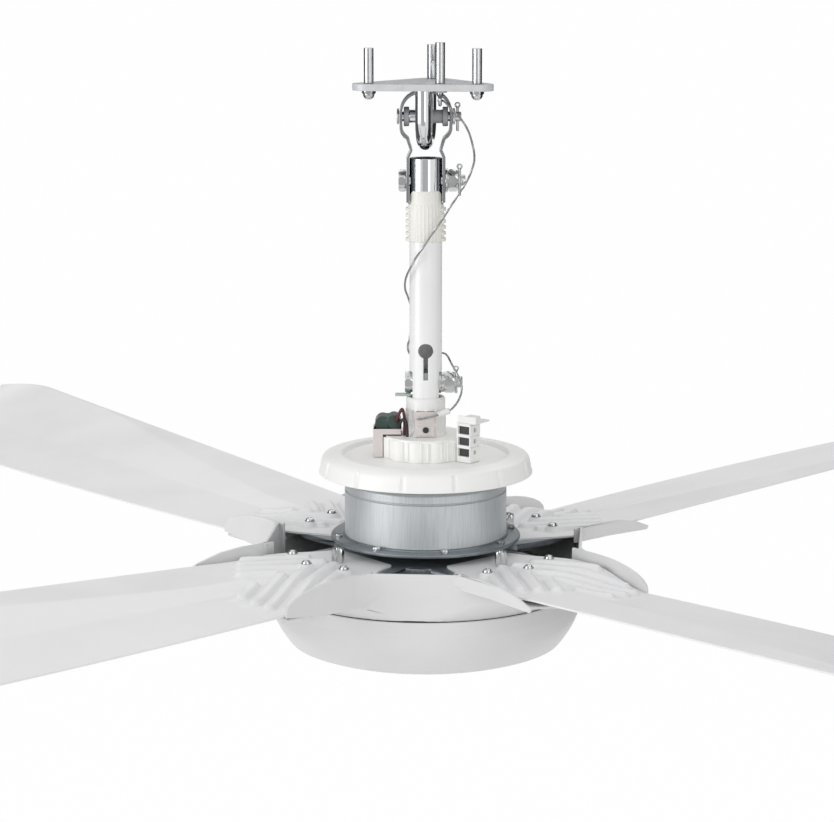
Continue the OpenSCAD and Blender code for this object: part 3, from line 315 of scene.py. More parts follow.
metalGroup.links.new(mathNode(metalGroup, "MULTIPLY", blotchShift, 0.08), metalOut.inputs["Roughness Shift"])

# Plating above a level, paint below it, with a soft worn border
borderGroup, borderIn, borderOut = newGroup(
    "paintBorder",
    {"Place": origin, "Level": -0.1, "Softness": 0.0006},
    ["Above"])
borderParts = addNode(borderGroup, "ShaderNodeSeparateXYZ", Vector=borderIn.outputs["Place"])
borderWear = addNode(borderGroup, "ShaderNodeTexNoise", Vector=borderIn.outputs["Place"], Scale=260.0, Detail=3.0)
borderShift = mathNode(borderGroup, "MULTIPLY_ADD", borderWear.outputs["Fac"], 0.002, borderParts.outputs["Z"])
overLevel = mathNode(borderGroup, "SUBTRACT", borderShift, borderIn.outputs["Level"])
softened = mathNode(borderGroup, "DIVIDE", overLevel, borderIn.outputs["Softness"])
clampedBorder = addNode(borderGroup, "ShaderNodeClamp", Value=softened)
borderGroup.links.new(clampedBorder.outputs[0], borderOut.inputs["Above"])


def toLinear(hexColour):
    parts = [int(hexColour[i:i + 2], 16) / 255 for i in (0, 2, 4)]
    return (*[c / 12.92 if c <= 0.04045 else ((c + 0.055) / 1.055) ** 2.4 for c in parts], 1)


def effectIn(tree, group, values):
    effect = tree.nodes.new("ShaderNodeGroup")
    effect.node_tree = group
    tree.links.new(tree.nodes.new("ShaderNodeTexCoord").outputs["Object"], effect.inputs["Place"])
    for key, value in values.items():
        effect.inputs[key].default_value = value
    return effect


def newFinish(name, group, colour, shade, rough, metallic=0.0, bump=0.06, coat=0.0, **values):
    finish = bpy.data.materials.new(name)
    finish.use_nodes = True
    tree = finish.node_tree
    shader = tree.nodes["Principled BSDF"]
    effect = effectIn(tree, group, {key.replace("_", " "): value for key, value in values.items()})
    tone = rangeNode(tree, effect.outputs["Tone"], 0.82, 1.02, 0.0, 1.0)
    mixed = addNode(tree, "ShaderNodeMix", {"data_type": "RGBA"}, Factor=tone, i6=toLinear(shade), i7=toLinear(colour))
    tree.links.new(mixed.outputs[2], shader.inputs["Base Color"])
    tree.links.new(mathNode(tree, "ADD", effect.outputs["Roughness Shift"], rough), shader.inputs["Roughness"])
    bumpNode = addNode(tree, "ShaderNodeBump", Strength=bump, Distance=0.0002, Height=effect.outputs["Height"])
    tree.links.new(bumpNode.outputs[0], shader.inputs["Normal"])
    shader.inputs["Metallic"].default_value = metallic
    shader.inputs["Coat Weight"].default_value = coat
    return finish


turned = (0.04, 0.04, 1.0)
# Colour, shaded colour, roughness and metallic of each finish, with what else differs from the defaults
skinLooks = {
    "bladeWhite": ("F1F1F2", "E4E4E5", 0.42, {"Peel_Size": 1400.0}),
    "coverWhite": ("E2E2E2", "D2D2D2", 0.4, {"bump": 0.04, "Peel_Size": 1600.0}),
    "whiteRod": ("F4F4F4", "E6E6E5", 0.28, {"coat": 0.3}),
    "ivoryPlastic": ("F2F1EB", "E0DED4", 0.42),
    "whitePlastic": ("F2F2F0", "E0E0DD", 0.42),
    "warmWhitePlastic": ("FAFAF8", "EFEFEC", 0.38, {"bump": 0.04}),
    "palePlastic": ("DCD5D3", "C8C0BD", 0.48),
    "greenPlastic": ("3B4F49", "22302C", 0.35, {"bump": 0.1}),
    "earthGreen": ("B5C4B8", "98AB9D", 0.45),
    # Dark plastic of the inner shield, also used as painted shade in the terminal block's windows and as painted shadow
    # in the band and bowl seam
    "darkPlasticAndShade": ("343638", "252729", 0.5, {"bump": 0.1}),
    "greyRubber": ("B2B4B6", "96989B", 0.5, {"bump": 0.25}),
    "brownLead": ("5E2A28", "45201E", 0.4),
    "blackLead": ("26262A", "19191B", 0.4),
}
metalLooks = {
    "zincPlate": ("AEB0B2", "95979A", 0.45, 0.35, {"Blotch_Size": 70.0, "Blotch_Depth": 0.2}),
    "chromeSteel": ("D8DADC", "C6C9CC", 0.09, 1.0, {"bump": 0.02, "Blotch_Depth": 0.06}),
    "strapSteel": ("A4A7AA", "8E9194", 0.2, 1.0, {"bump": 0.02}),
    "anchorSteel": ("C8CACC", "A6A9AC", 0.25, 1.0),
    "brightFastener": ("CFD0D0", "ACADAC", 0.18, 1.0),
    "darkSteel": ("44474A", "313437", 0.45, 0.8, {"Blotch_Depth": 0.2}),
    "steelWire": ("ADAFB1", "8A8D90", 0.3, 1.0, {"bump": 0.03}),
    "motorMetal": ("B4B8BA", "96999C", 0.36, 0.8, {"Line_Stretch": turned}),
    "copperWire": ("B87048", "8C5232", 0.35, 0.9, {"bump": 0.3, "Line_Stretch": turned}),
    "drumGrey": ("D6DADC", "C2C8CB", 0.42, 0.45,
                 {"bump": 0.012, "Blotch_Size": 18.0, "Blotch_Depth": 0.04, "Line_Depth": 0.12}),
    # Grey of the blade holder, also given to the motor base's flange as painted shade, darker than the drum
    "holderGrey": ("8F969B", "747B80", 0.4, 0.6, {"Blotch_Size": 60.0, "Blotch_Depth": 0.15}),
    # Lighter zinc for the ceiling plate's side faces: a painted highlight where the edges catch the light
    "zincEdgeHighlight": ("D2D4D6", "BFC2C5", 0.42, 0.1, {"Blotch_Size": 90.0, "Blotch_Depth": 0.08}),
}
finishes = {}
for group, looks in ((skinGroup, skinLooks), (metalGroup, metalLooks)):
    for name, look in looks.items():
        extras = look[-1] if isinstance(look[-1], dict) else {}
        finishes[name] = newFinish(name, group, *[part for part in look if part is not extras], **extras)

# The downrod: chrome where it is bare, white paint below the sleeve
rod = {"paintTop": -101.0}
rodFinish = finishes["whiteRod"].copy()
rodFinish.name = "rodFinish"
rodTree = rodFinish.node_tree
rodShader = rodTree.nodes["Principled BSDF"]
rodBorder = effectIn(rodTree, borderGroup, {"Level": rod["paintTop"] / 1000})
bare = rodBorder.outputs["Above"]
paint = rodShader.inputs["Base Color"].links[0].from_socket
rodColour = addNode(rodTree, "ShaderNodeMix", {"data_type": "RGBA"}, Factor=bare, i6=paint, i7=toLinear("D8DADC"))
rodTree.links.new(rodColour.outputs[2], rodShader.inputs["Base Color"])
rodTree.links.new(bare, rodShader.inputs["Metallic"])
rodRough = rodShader.inputs["Roughness"].links[0].from_socket
rodTree.links.new(mathNode(rodTree, "MULTIPLY_ADD", bare, -0.18, rodRough), rodShader.inputs["Roughness"])
finishes["rodFinish"] = rodFinish

nodeFinish = {
    "zincPlate": ["ceiling_plate"], "chromeSteel": ["hanger_hook", "shackle", "bearings"],
    "anchorSteel": ["anchor_studs", "safety_anchor"], "greyRubber": ["hanger_roller"], "rodFinish": ["downrod"],
    "brightFastener": ["anchor_nuts", "safety_nut", "hanger_pin", "hanger_washers", "clamp_bolts", "clamp_washers",
                       "clamp_nuts", "split_pins", "holder_posts", "blade_screws"],
    "ivoryPlastic": ["rod_sleeve"], "whitePlastic": ["neck", "terminal_block", "terminal_flap", "wire_sleeve"],
    "palePlastic": ["neck_panel", "capacitor_tray"], "warmWhitePlastic": ["fluted_hub", "top_cover"],
    "darkSteel": ["panel_screws", "terminal_screws", "shaft_clip", "stator_core", "magnet_ring", "cover_screws"],
    "greenPlastic": ["capacitor"], "brownLead": ["lead_brown"], "blackLead": ["lead_black"],
    "steelWire": ["safety_wire"], "earthGreen": ["earth_tab"], "motorMetal": ["motor_shaft"],
    "copperWire": ["windings"], "drumGrey": ["motor_drum", "drum_lid", "motor_base"], "holderGrey": ["blade_holder"],
    "bladeWhite": ["blade_1", "blade_2", "blade_3", "blade_4"], "coverWhite": ["hub_cover", "bottom_bowl"],
    "darkPlasticAndShade": ["inner_shield"],
}
for finishName, names in nodeFinish.items():
    for name in names:
        nodes[name].data.materials.clear()
        nodes[name].data.materials.append(finishes[finishName])
print("finishes:", len(finishes), "for", sum(len(names) for names in nodeFinish.values()), "nodes")


# Geometry node trees
def newTree(name, inputs):
    tree = bpy.data.node_groups.new(name, "GeometryNodeTree")
    tree.interface.new_socket("Geometry", in_out="INPUT", socket_type="NodeSocketGeometry")
    addInputs(tree, inputs)
    tree.interface.new_socket("Finish", in_out="INPUT", socket_type="NodeSocketMaterial")
    tree.interface.new_socket("Geometry", in_out="OUTPUT", socket_type="NodeSocketGeometry")
    return tree, tree.nodes.new("NodeGroupInput"), tree.nodes.new("NodeGroupOutput")


def closeTree(tree, source, treeIn, treeOut):
    real = addNode(tree, "GeometryNodeRealizeInstances", Geometry=source)
    painted = addNode(tree, "GeometryNodeSetMaterial", Geometry=real.outputs[0], Material=treeIn.outputs["Finish"])
    tree.links.new(painted.outputs[0], treeOut.inputs[0])


# A shape repeated round the fan's axis
ringTree, ringIn, ringOut = newTree("partsOnRing", {"Count": 12, "First Angle": 0.0})
ringSpots = addNode(ringTree, "GeometryNodeMeshLine", Count=ringIn.outputs["Count"], Offset=(0.0, 0.0, 0.0))
ringStep = mathNode(ringTree, "DIVIDE", math.tau, ringIn.outputs["Count"])
ringAngle = mathNode(ringTree, "MULTIPLY_ADD", ringTree.nodes.new("GeometryNodeInputIndex").outputs[0], ringStep,
                     ringIn.outputs["First Angle"])
ringTurn = addNode(ringTree, "ShaderNodeCombineXYZ", Z=ringAngle)
ringPlaces = addNode(ringTree, "GeometryNodeInstanceOnPoints", Points=ringSpots.outputs[0],
                     Instance=ringIn.outputs["Geometry"], Rotation=ringTurn.outputs[0])
closeTree(ringTree, ringPlaces.outputs[0], ringIn, ringOut)

# A shape repeated along a straight line
rowTree, rowIn, rowOut = newTree("partsInRow", {"Count": 6, "Step": (0.0, 0.0, 0.005)})
rowSpots = addNode(rowTree, "GeometryNodeMeshLine", Count=rowIn.outputs["Count"], Offset=rowIn.outputs["Step"])
rowPlaces = addNode(rowTree, "GeometryNodeInstanceOnPoints", Points=rowSpots.outputs[0],
                    Instance=rowIn.outputs["Geometry"])
closeTree(rowTree, rowPlaces.outputs[0], rowIn, rowOut)

# Strands laid round a route, as in a stranded wire
strandTree, strandIn, strandOut = newTree("laidStrands", {
    "Strands": 6, "Lay": 0.012, "Pitch Radius": 0.0006, "Strand Radius": 0.0003})
route = addNode(strandTree, "GeometryNodeMeshToCurve", Mesh=strandIn.outputs["Geometry"])
copies = addNode(strandTree, "GeometryNodeDuplicateElements", {"domain": "SPLINE"}, Geometry=route.outputs[0],
                 Amount=strandIn.outputs["Strands"])
runLength = strandTree.nodes.new("GeometryNodeSplineParameter").outputs["Length"]
tangent = strandTree.nodes.new("GeometryNodeInputTangent").outputs[0]
normal = strandTree.nodes.new("GeometryNodeInputNormal").outputs[0]
sideways = addNode(strandTree, "ShaderNodeVectorMath", {"operation": "CROSS_PRODUCT"}, i0=tangent, i1=normal)
share = mathNode(strandTree, "DIVIDE", copies.outputs["Duplicate Index"], strandIn.outputs["Strands"])
turns = mathNode(strandTree, "ADD", mathNode(strandTree, "DIVIDE", runLength, strandIn.outputs["Lay"]), share)
strandAngle = mathNode(strandTree, "MULTIPLY", turns, math.tau)
ways = []
for operation, direction in (("COSINE", normal), ("SINE", sideways.outputs[0])):
    amount = mathNode(strandTree, "MULTIPLY", mathNode(strandTree, operation, strandAngle),
                      strandIn.outputs["Pitch Radius"])
    ways.append(addNode(strandTree, "ShaderNodeVectorMath", {"operation": "SCALE"}, i0=direction,
                        Scale=amount).outputs[0])
strandShift = addNode(strandTree, "ShaderNodeVectorMath", {"operation": "ADD"}, i0=ways[0], i1=ways[1])
strandPlace = addNode(strandTree, "GeometryNodeSetPosition", Geometry=copies.outputs[0],
                      Offset=strandShift.outputs[0])
strandSection = addNode(strandTree, "GeometryNodeCurvePrimitiveCircle", Resolution=6,
                        Radius=strandIn.outputs["Strand Radius"])
strandMesh = addNode(strandTree, "GeometryNodeCurveToMesh", Curve=strandPlace.outputs[0],
                     Profile_Curve=strandSection.outputs[0], Fill_Caps=True)
closeTree(strandTree, strandMesh.outputs[0], strandIn, strandOut)


# Runs a tree on a shape, or on an open route of points, and keeps the result as a plain mesh
def grow(name, source, tree, finish, smoothAngle=40, **values):
    if source[1]:
        seed = makePiece(name + "Seed", source, finish, smoothAngle)
    else:
        mesh = bpy.data.meshes.new(name + "Seed")
        points = [tuple(v / 1000 for v in p) for p in source[0]]
        mesh.from_pydata(points, [(i, i + 1) for i in range(len(points) - 1)], [])
        seed = linkMesh(name + "Seed", mesh)
    modifier = seed.modifiers.new("grow", "NODES")
    modifier.node_group = tree
    sockets = {item.name: item.identifier for item in tree.interface.items_tree if item.in_out == "INPUT"}
    for key, value in {**values, "Finish": finishes[finish]}.items():
        modifier[sockets[key.replace("_", " ")]] = value
    mesh = bpy.data.meshes.new_from_object(seed.evaluated_get(bpy.context.evaluated_depsgraph_get()))
    seed.modifiers.clear()
    bpy.data.objects.remove(seed)
    shadeMesh(mesh, smoothAngle)
    return linkMesh(name, mesh)


print("node trees ready")


# Safety wire: six strands round a core, down from the anchor, round the rod and back into its crimp
wire = {
    "radius": 0.62, "pitchRadius": 0.0006, "strandRadius": 0.00032, "lay": 0.014, "crimpRadius": 2.5,
    "top": [(9.4, -23, -13.9), (14, -23.4, -14.1), (20, -24.4, -19.9), (27.6, -25, -27.5), (34, -25, -37.6),
            (38, -24.6, -50), (39.4, -23.6, -61)],
    "middle": [(37.2, -22.6, -70.5), (32.6, -21.8, -81), (28, -21.2, -88), (23.9, -20.6, -94.6), (19, -20, -102)],
    "lower": [(14.2, -19.8, -109.8), (9.6, -19.6, -116.6), (5, -19.2, -123), (0.2, -18.8, -130.4), (-4.6, -18, -137.5),
              (-8.8, -16.8, -144), (-12.4, -14.6, -151), (-15.6, -11, -158), (-17.2, -5, -165), (-17, 1.6, -172),
              (-14.8, 8, -179), (-12.4, 12.4, -188), (-12, 13.4, -200), (-13.2, 12, -212), (-15, 10, -222),
              (-12, 13.2, -229), (-4, 17, -230), (8.6, 15, -228), (16.6, 8, -227), (21.6, 0, -234), (26, -8, -241),
              (29.6, -11.4, -249), (29.4, -13.4, -257), (26, -15.4, -264.5), (19.6, -18.6, -270.5),
              (10.4, -21.8, -273.3), (4.4, -22, -275.1), (-1.6, -21.2, -276.5), (-7.4, -20.3, -277.5)],
}
wireRoute = smoothPath(wire["top"] + wire["middle"] + wire["lower"], 8)
firstCut, secondCut = 8 * (len(wire["top"]) - 1), 8 * (len(wire["top"]) + len(wire["middle"]) - 1)
spans = {"wireTop": wireRoute[:firstCut + 1], "wireMiddle": wireRoute[firstCut:secondCut + 1],
         "wireLower": wireRoute[secondCut:]}
wireNotes = {"wireTop": ("ceiling_mount", "roller", (0, 0, -0.016), (0, 0, -0.058)),
             "wireMiddle": ("roller", "downrod", (0, 0, -0.064), (0, 0, -0.098))}
for name, path in spans.items():
    strands = grow(name + "Strands", (path, []), strandTree, "steelWire", Strands=6, Lay=wire["lay"],
                   Pitch_Radius=wire["pitchRadius"], Strand_Radius=wire["strandRadius"])
    core = makePiece(name, tube(path, wire["radius"], 8), "steelWire", 60)
    whole = bmesh.new()
    whole.from_mesh(core.data)
    whole.from_mesh(strands.data)
    whole.to_mesh(core.data)
    whole.free()
    bpy.data.objects.remove(strands)
    if name in wireNotes:
        upperBody, lowerBody, start, end = wireNotes[name]
        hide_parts("safety_wire")
        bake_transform(core)
    else:
        fit(core, "downrod", "steel_wire", "safety_wire")
crimpPath = smoothPath([(19.6, -18.6, -270.5), (15, -20.2, -271.9), (10.4, -21.8, -273.3)], 6)
crimp = tube(crimpPath, wire["crimpRadius"], 24)
fit(makePiece("wireCrimp", crimp, "whitePlastic", 40, bevel=0.6), "downrod", "white_plastic", "wire_sleeve")
print("safety wire laid")


# Blades: one pressed sheet each, with two long creases and veins that fan out over the root
blade = {
    "rootRadius": 66, "flatTo": 141, "twistTo": 200, "sweep": 750, "midRadius": 400, "slopeRadius": 300,
    "leadMid": 65.7, "trailMid": 79.1, "leadLift": 11.2, "trailFall": 11.6, "rootLift": -1, "sheet": 1.6,
    "creaseHeight": 3.0, "tipRound": 40, "columns": 84, "fineTo": 210, "embossTo": 222,
    "veins": [(108, -26, 152, -52), (106, -8, 163, -42), (129, -4, 172, -30), (157, -4, 181, -18), (108, 26, 152, 53),
              (106, 8, 184, 54), (131, 4, 201, 46), (157, 4, 204, 32), (184, 3, 205, 16)],
    "veinWidth": 9.0, "veinHeight": 3.8, "veinSoft": 3.2,
    "screws": [(116, 34), (128, 0), (116, -34)], "bossRadius": 6.4, "bossHeight": 4.6,
}


def eased(k):
    k = min(max(k, 0), 1)
    return k * k * (3 - 2 * k)


def mixed(a, b, k):
    return a + (b - a) * k


def bladeEdges(r):
    along, far = [(v - blade["midRadius"]) / blade["slopeRadius"] for v in (r, max(r, blade["twistTo"]))]
    wide = eased((r - blade["rootRadius"]) / 60)
    rootShare = eased((r - blade["flatTo"]) / (blade["twistTo"] - blade["flatTo"]))
    lead = -(blade["leadMid"] + 10.4 * far) * mixed(0.6, 1, wide)
    trail = (blade["trailMid"] + 16.5 * far - 10.7 * far * far) * mixed(0.56, 0.97, wide) \
        * mixed(1, 1 / 0.97, rootShare)
    leadZ = mixed(blade["rootLift"], blade["leadLift"] + 14.2 * along, rootShare)
    trailZ = mixed(blade["rootLift"], -blade["trailFall"] + 3 * along, rootShare)
    return lead, trail, leadZ, trailZ, rootShare


def crease(r, k, rootShare):
    first, second = min(max(0.39 - (r - 240) * 0.00105, 0.03), 0.4), mixed(0.54, 0.56, eased(r / 700))
    if k < first:
        return rootShare * blade["creaseHeight"] * k / first
    if k < second:
        return rootShare * mixed(blade["creaseHeight"], -0.6, (k - first) / (second - first))
    return rootShare * mixed(-0.6, 0, (k - second) / (1 - second))


def emboss(r, t):
    height, spot, soft = 0.0, Vector((r, t)), blade["veinSoft"]
    for r0, t0, r1, t1 in blade["veins"]:
        start, way = Vector((r0, t0)), Vector((r1 - r0, t1 - t0))
        share = min(max((spot - start).dot(way) / way.length_squared, 0), 1)
        gap = (spot - start - way * share).length - blade["veinWidth"] / 2
        height = max(height, eased(0.5 - gap / soft) * blade["veinHeight"])
    for screw in blade["screws"]:
        gap = (spot - Vector(screw)).length - blade["bossRadius"]
        height = max(height, eased(0.5 - gap / 3) * blade["bossHeight"])
    return height


def bladeShape():
    radii, r = [], blade["rootRadius"]
    while r < blade["sweep"] - 0.01:
        radii.append(r)
        r += 1.5 if r < blade["fineTo"] else 10 if r < blade["sweep"] - blade["tipRound"] else 2
    radii.append(blade["sweep"])
    columns, top, under, faces = blade["columns"], [], [], []
    for r in radii:
        lead, trail, leadZ, trailZ, rootShare = bladeEdges(r)
        tip = max((r - blade["sweep"] + blade["tipRound"]) / blade["tipRound"], 0)
        rootTip = max(1 - (r - blade["rootRadius"]) / 8, 0)
        pull = (1 - math.sqrt(1 - min(tip, 0.999) ** 2)) * 0.5 + (1 - math.sqrt(1 - min(rootTip, 0.999) ** 2)) * 0.05
        for j in range(columns + 1):
            k = j / columns
            y = mixed(mixed(lead, trail, k), (lead + trail) / 2, pull)
            z = mixed(leadZ, trailZ, k) + crease(r, k, rootShare)
            lift = emboss(r, y) if r < blade["embossTo"] else 0
            top.append((r, y, z + blade["sheet"] / 2 + lift))
            under.append((r, y, z - blade["sheet"] / 2 + (lift * 0.9 if r > 160 else 0)))
    n, half = columns + 1, len(top)
    for i in range(len(radii) - 1):
        for j in range(columns):
            a, b, c, d = i * n + j, i * n + j + 1, (i + 1) * n + j + 1, (i + 1) * n + j
            faces += [[a, d, c, b], [a + half, b + half, c + half, d + half]]
        for a, b in ((i * n, (i + 1) * n), (i * n + columns, (i + 1) * n + columns)):
            faces.append([a, b, b + half, a + half])
    for row in (0, len(radii) - 1):
        for j in range(columns):
            a, b = row * n + j, row * n + j + 1
            faces.append([a, b, b + half, a + half])
    return top + under, faces


bladeForm = bladeShape()
for i in range(4):
    sheet = moved(bladeForm, z=fan["bladePlane"], turnZ=fan["bladeTurn"] + 90 * i)
    fit(makePiece("bladeSheet%d" % (i + 1), sheet, "bladeWhite", smoothAngle=50), "rotor", "blade_white",
        "blade_%d" % (i + 1))
print("blades pressed:", len(bladeForm[1]), "faces each")

# CAD pieces that keep their form and only get soft edges: node, finish, edge width, and a slot where the finish's
# own name isn't it
softPieces = {
    "ceiling_mount": [
        ("ceiling_plate", "zincPlate", 0.5), ("hanger_hook", "chromeSteel", 0.4),
        ("anchor_studs", "anchorSteel", 0.4), ("safety_anchor", "anchorSteel", 0.3),
        ("safety_nut", "brightFastener", 0.3)],
    "roller": [
        ("hanger_roller", "greyRubber", 0.6)],
    "downrod": [
        ("shackle", "strapSteel", 0.4, "chrome_steel"), ("hanger_pin", "brightFastener", 0.4),
        ("hanger_washers", "brightFastener", 0.3), ("downrod", "rodFinish", 0.5, "white_rod"),
        ("neck", "whitePlastic", 0.35), ("neck_panel", "palePlastic", 0.3, "white_plastic"),
        ("panel_screws", "darkSteel", 0.3, "bright_fastener"), ("capacitor", "greenPlastic", 0.5),
        ("capacitor_tray", "palePlastic", 0.5), ("terminal_block", "whitePlastic", 0.3),
        ("terminal_flap", "whitePlastic", 0.3), ("terminal_screws", "brightFastener", 0.2),
        ("fluted_hub", "warmWhitePlastic", 0.4, "white_plastic"), ("earth_tab", "earthGreen", 0.3, "green_plastic"),
        ("clamp_washers", "brightFastener", 0.3), ("split_pins", "brightFastener", 0.3)],
    "rotor": [
        ("motor_drum", "drumGrey", 0.5), ("drum_lid", "drumGrey", 0.6),
        # The motor base takes the darker holder grey as painted shade under the top cover
        ("motor_base", "holderGrey", 0.5, "drum_grey"), ("blade_holder", "holderGrey", 0.6, "dark_steel"),
        ("hub_cover", "coverWhite", 0.45), ("cover_screws", "brightFastener", 0.2)],
}
for body, entries in softPieces.items():
    for node, finish, width, *given in entries:
        slot = given[0] if given else "".join("_" + c.lower() if c.isupper() else c for c in finish)
        fit(softCopy(node + ".soft", node, finish, width), body, slot, node)


# Gives the faces that a test picks a second finish
def secondFinish(piece, finish, test):
    piece.data.materials.append(finishes[finish])
    for face in piece.data.polygons:
        if test(face):
            face.material_index = 1


axisHeight = fan["rollerAxis"] / 1000
# The plate's upright side faces take the lighter zinc as a painted highlight
secondFinish(bpy.data.objects["ceiling_plate.soft"], "zincEdgeHighlight", lambda face: abs(face.normal.z) < 0.6)
secondFinish(bpy.data.objects["hanger_roller.soft"], "chromeSteel",
             lambda face: face.center.x < 0 and math.hypot(face.center.y, face.center.z - axisHeight) < 0.0062)
for vertex in bpy.data.objects["shackle.soft"].data.vertices:
    share = (vertex.co.z * 1000 + 58) / 24
    if 0 < share < 1:
        vertex.co.x += math.copysign(0.0022 * math.sin(math.pi * share), vertex.co.x)
print("soft edges on", sum(len(entries) for entries in softPieces.values()), "pieces")

# Ceiling fixings: three dome nuts on washers
anchors = {"turn": 84.1, "circle": 50.8, "under": -2.3}
dome = [(0.01, -11.1), (1.9, -10.8), (3.3, -9.9), (4.2, -8.7), (4.65, -7.4), (4.7, -6.0), (0.01, -6.0)]
nut = together(disc(7.5, -1.2, 0, 0.3, 28), hexagon(10, -6.2, -1.2), spun(dome, 24))
nuts = grow("anchorDomes", moved(nut, x=anchors["circle"], z=anchors["under"]), ringTree, "brightFastener",
            Count=3, First_Angle=math.radians(anchors["turn"]))
fit(nuts, "ceiling_mount", "bright_fastener", "anchor_nuts")

# Clamp bolts through the rod: hexagon heads, threaded ends and chamfered nuts
bolts = {"flats": 16, "radius": 5, "head": 6.4, "nut": 8.4, "pitch": 1.5, "depth": 0.45,
         "upper": {"face": 16.1, "stack": 2, "length": 48.6, "level": fan["upperBolt"]},
         "lower": {"face": 11.0, "stack": 4.6, "length": 41.7, "level": fan["lowerBolt"]}}
boltShapes, nutShapes = [], []
for spot in (bolts["upper"], bolts["lower"]):
    face, level = spot["face"], spot["level"]
    nutFace = face + spot["stack"]
    head = moved(hexagon(bolts["flats"], -face - bolts["head"], -face), turnZ=30)
    shank = tube([(0, 0, -face - 0.1), (0, 0, nutFace - 1)], bolts["radius"] - 0.02, 24)
    thread = threadedRod(bolts["radius"], bolts["pitch"], bolts["depth"], nutFace - 1.1, spot["length"] - face)
    boltShapes += [moved(part, z=level, turnY=90) for part in (head, shank, thread)]
    nutBody = moved(hexagon(bolts["flats"], nutFace, nutFace + bolts["nut"]), turnZ=30)
    nutShapes.append(moved(nutBody, z=level, turnY=90))
fit(makePiece("clampBolts", together(*boltShapes), "brightFastener", 34), "downrod", "bright_fastener",
    "clamp_bolts")
fit(makePiece("clampNuts", together(*nutShapes), "brightFastener", 30), "downrod", "bright_fastener",
    "clamp_nuts")

# Ivory sleeve: a plain wall with flutes in front and behind, ribs only at the two sides
sleeve = {"foot": -130.5, "height": 31, "bore": 13.75, "wall": 14.85, "ribRadius": 16.8, "ribHalf": 9.2, "ribs": 6,
          "ribPitch": 5.0, "ribHeight": 2.6, "tongueTop": -88.5, "tongueFoot": -100.5, "tongueReach": 62,
          "fluteStep": 12, "fluteDepth": 0.4}


def sleeveFlute(angle, index):
    side = abs(math.sin(angle))
    flute = max(0, math.cos(angle * 360 / sleeve["fluteStep"])) * sleeve["fluteDepth"]
    return flute if index in (2, 3) and side > 0.7 else 0


bore, outside, foot = sleeve["bore"], sleeve["wall"], sleeve["foot"]
head = foot + sleeve["height"]
wall = [(bore, foot), (outside - 0.3, foot), (outside, foot + 0.4), (outside, head - 2.4), (outside, head - 0.4),
        (outside - 0.4, head), (bore, head)]
fit(makePiece("sleeveWall", spun(wall, 240, sleeveFlute), "ivoryPlastic", 40), "downrod", "ivory_plastic",
    "rod_sleeve")
tongues = []
for turn in (90, 270):
    rows = []
    for i in range(25):
        a = math.radians(turn - sleeve["tongueReach"] + sleeve["tongueReach"] * i / 12)
        corner = sleeve["tongueTop"] - 3 * max(0, abs(i - 12) / 12 - 0.8) / 0.2
        push = max(0, math.cos(a * 360 / sleeve["fluteStep"])) * sleeve["fluteDepth"]
        rows.append([(r * math.cos(a), r * math.sin(a), z) for r, z in (
            (bore - 0.05, sleeve["tongueFoot"]), (outside - 0.3 + push, sleeve["tongueFoot"]),
            (outside - 0.3 + push, corner - 0.5), (bore + 0.5, corner), (bore - 0.05, corner))])
    tongues.append(loft(rows))
fit(makePiece("sleeveTongues", together(*tongues), "ivoryPlastic", 40), "downrod", "ivory_plastic",
    "rod_sleeve")
reach = math.asin(sleeve["ribHalf"] / sleeve["ribRadius"])
arc = [(-reach + reach * i / 8, sleeve["ribRadius"]) for i in range(17)]
arc += [(reach - reach * i / 8, sleeve["bore"] + 0.6) for i in range(17)]
ribs = [raised([(side * r * math.cos(a), r * math.sin(a)) for a, r in arc], 0, sleeve["ribHeight"])
        for side in (1, -1)]
ribSeed = moved(together(*ribs), z=sleeve["foot"])
ribPiece = grow("sleeveRibs", ribSeed, rowTree, "ivoryPlastic", 30, Count=sleeve["ribs"],
                Step=(0, 0, sleeve["ribPitch"] / 1000))
softenEdges(ribPiece, 0.45, 40)
fit(ribPiece, "downrod", "ivory_plastic", "rod_sleeve")

# Dark boxes inside the windows of the terminal block: painted shade standing in for the shaded window interiors
block = {"turn": -37, "distance": 44.3, "foot": 3.9, "tier": 9.4, "half": 5.6, "window": 3.3, "face": -4.6,
         "back": -2.6}
windowSeed = raised([(-block["half"], block["face"]), (block["half"], block["face"]), (block["half"], block["back"]),
                     (-block["half"], block["back"])], -block["window"], block["window"])
windowSeed = moved(windowSeed, z=fan["coverFloor"] + block["foot"] + block["tier"] / 2)
windowShade = grow("paintedWindowShade", windowSeed, rowTree, "darkPlasticAndShade", 30, Count=3,
                Step=(0, 0, block["tier"] / 1000))
windowShade.data.transform(Matrix.Rotation(math.radians(block["turn"]), 4, "Z")
                        @ Matrix.Translation((block["distance"] / 1000, 0, 0)))
fit(windowShade, "downrod", "dark_plastic", "terminal_block")

# Fine upright fins round the hub
fins = {"count": 40, "radius": 36.2, "width": 1.1, "low": -310.5, "high": -295.2}
finSeed = raised([(30, -fins["width"] / 2), (fins["radius"], -fins["width"] / 2),
                  (fins["radius"] + 0.5, 0), (fins["radius"], fins["width"] / 2), (30, fins["width"] / 2)], fins["low"],
                 fins["high"])
fit(grow("hubFins", finSeed, ringTree, "warmWhitePlastic", 30, Count=fins["count"], First_Angle=0.05),
    "downrod", "white_plastic", "fluted_hub")

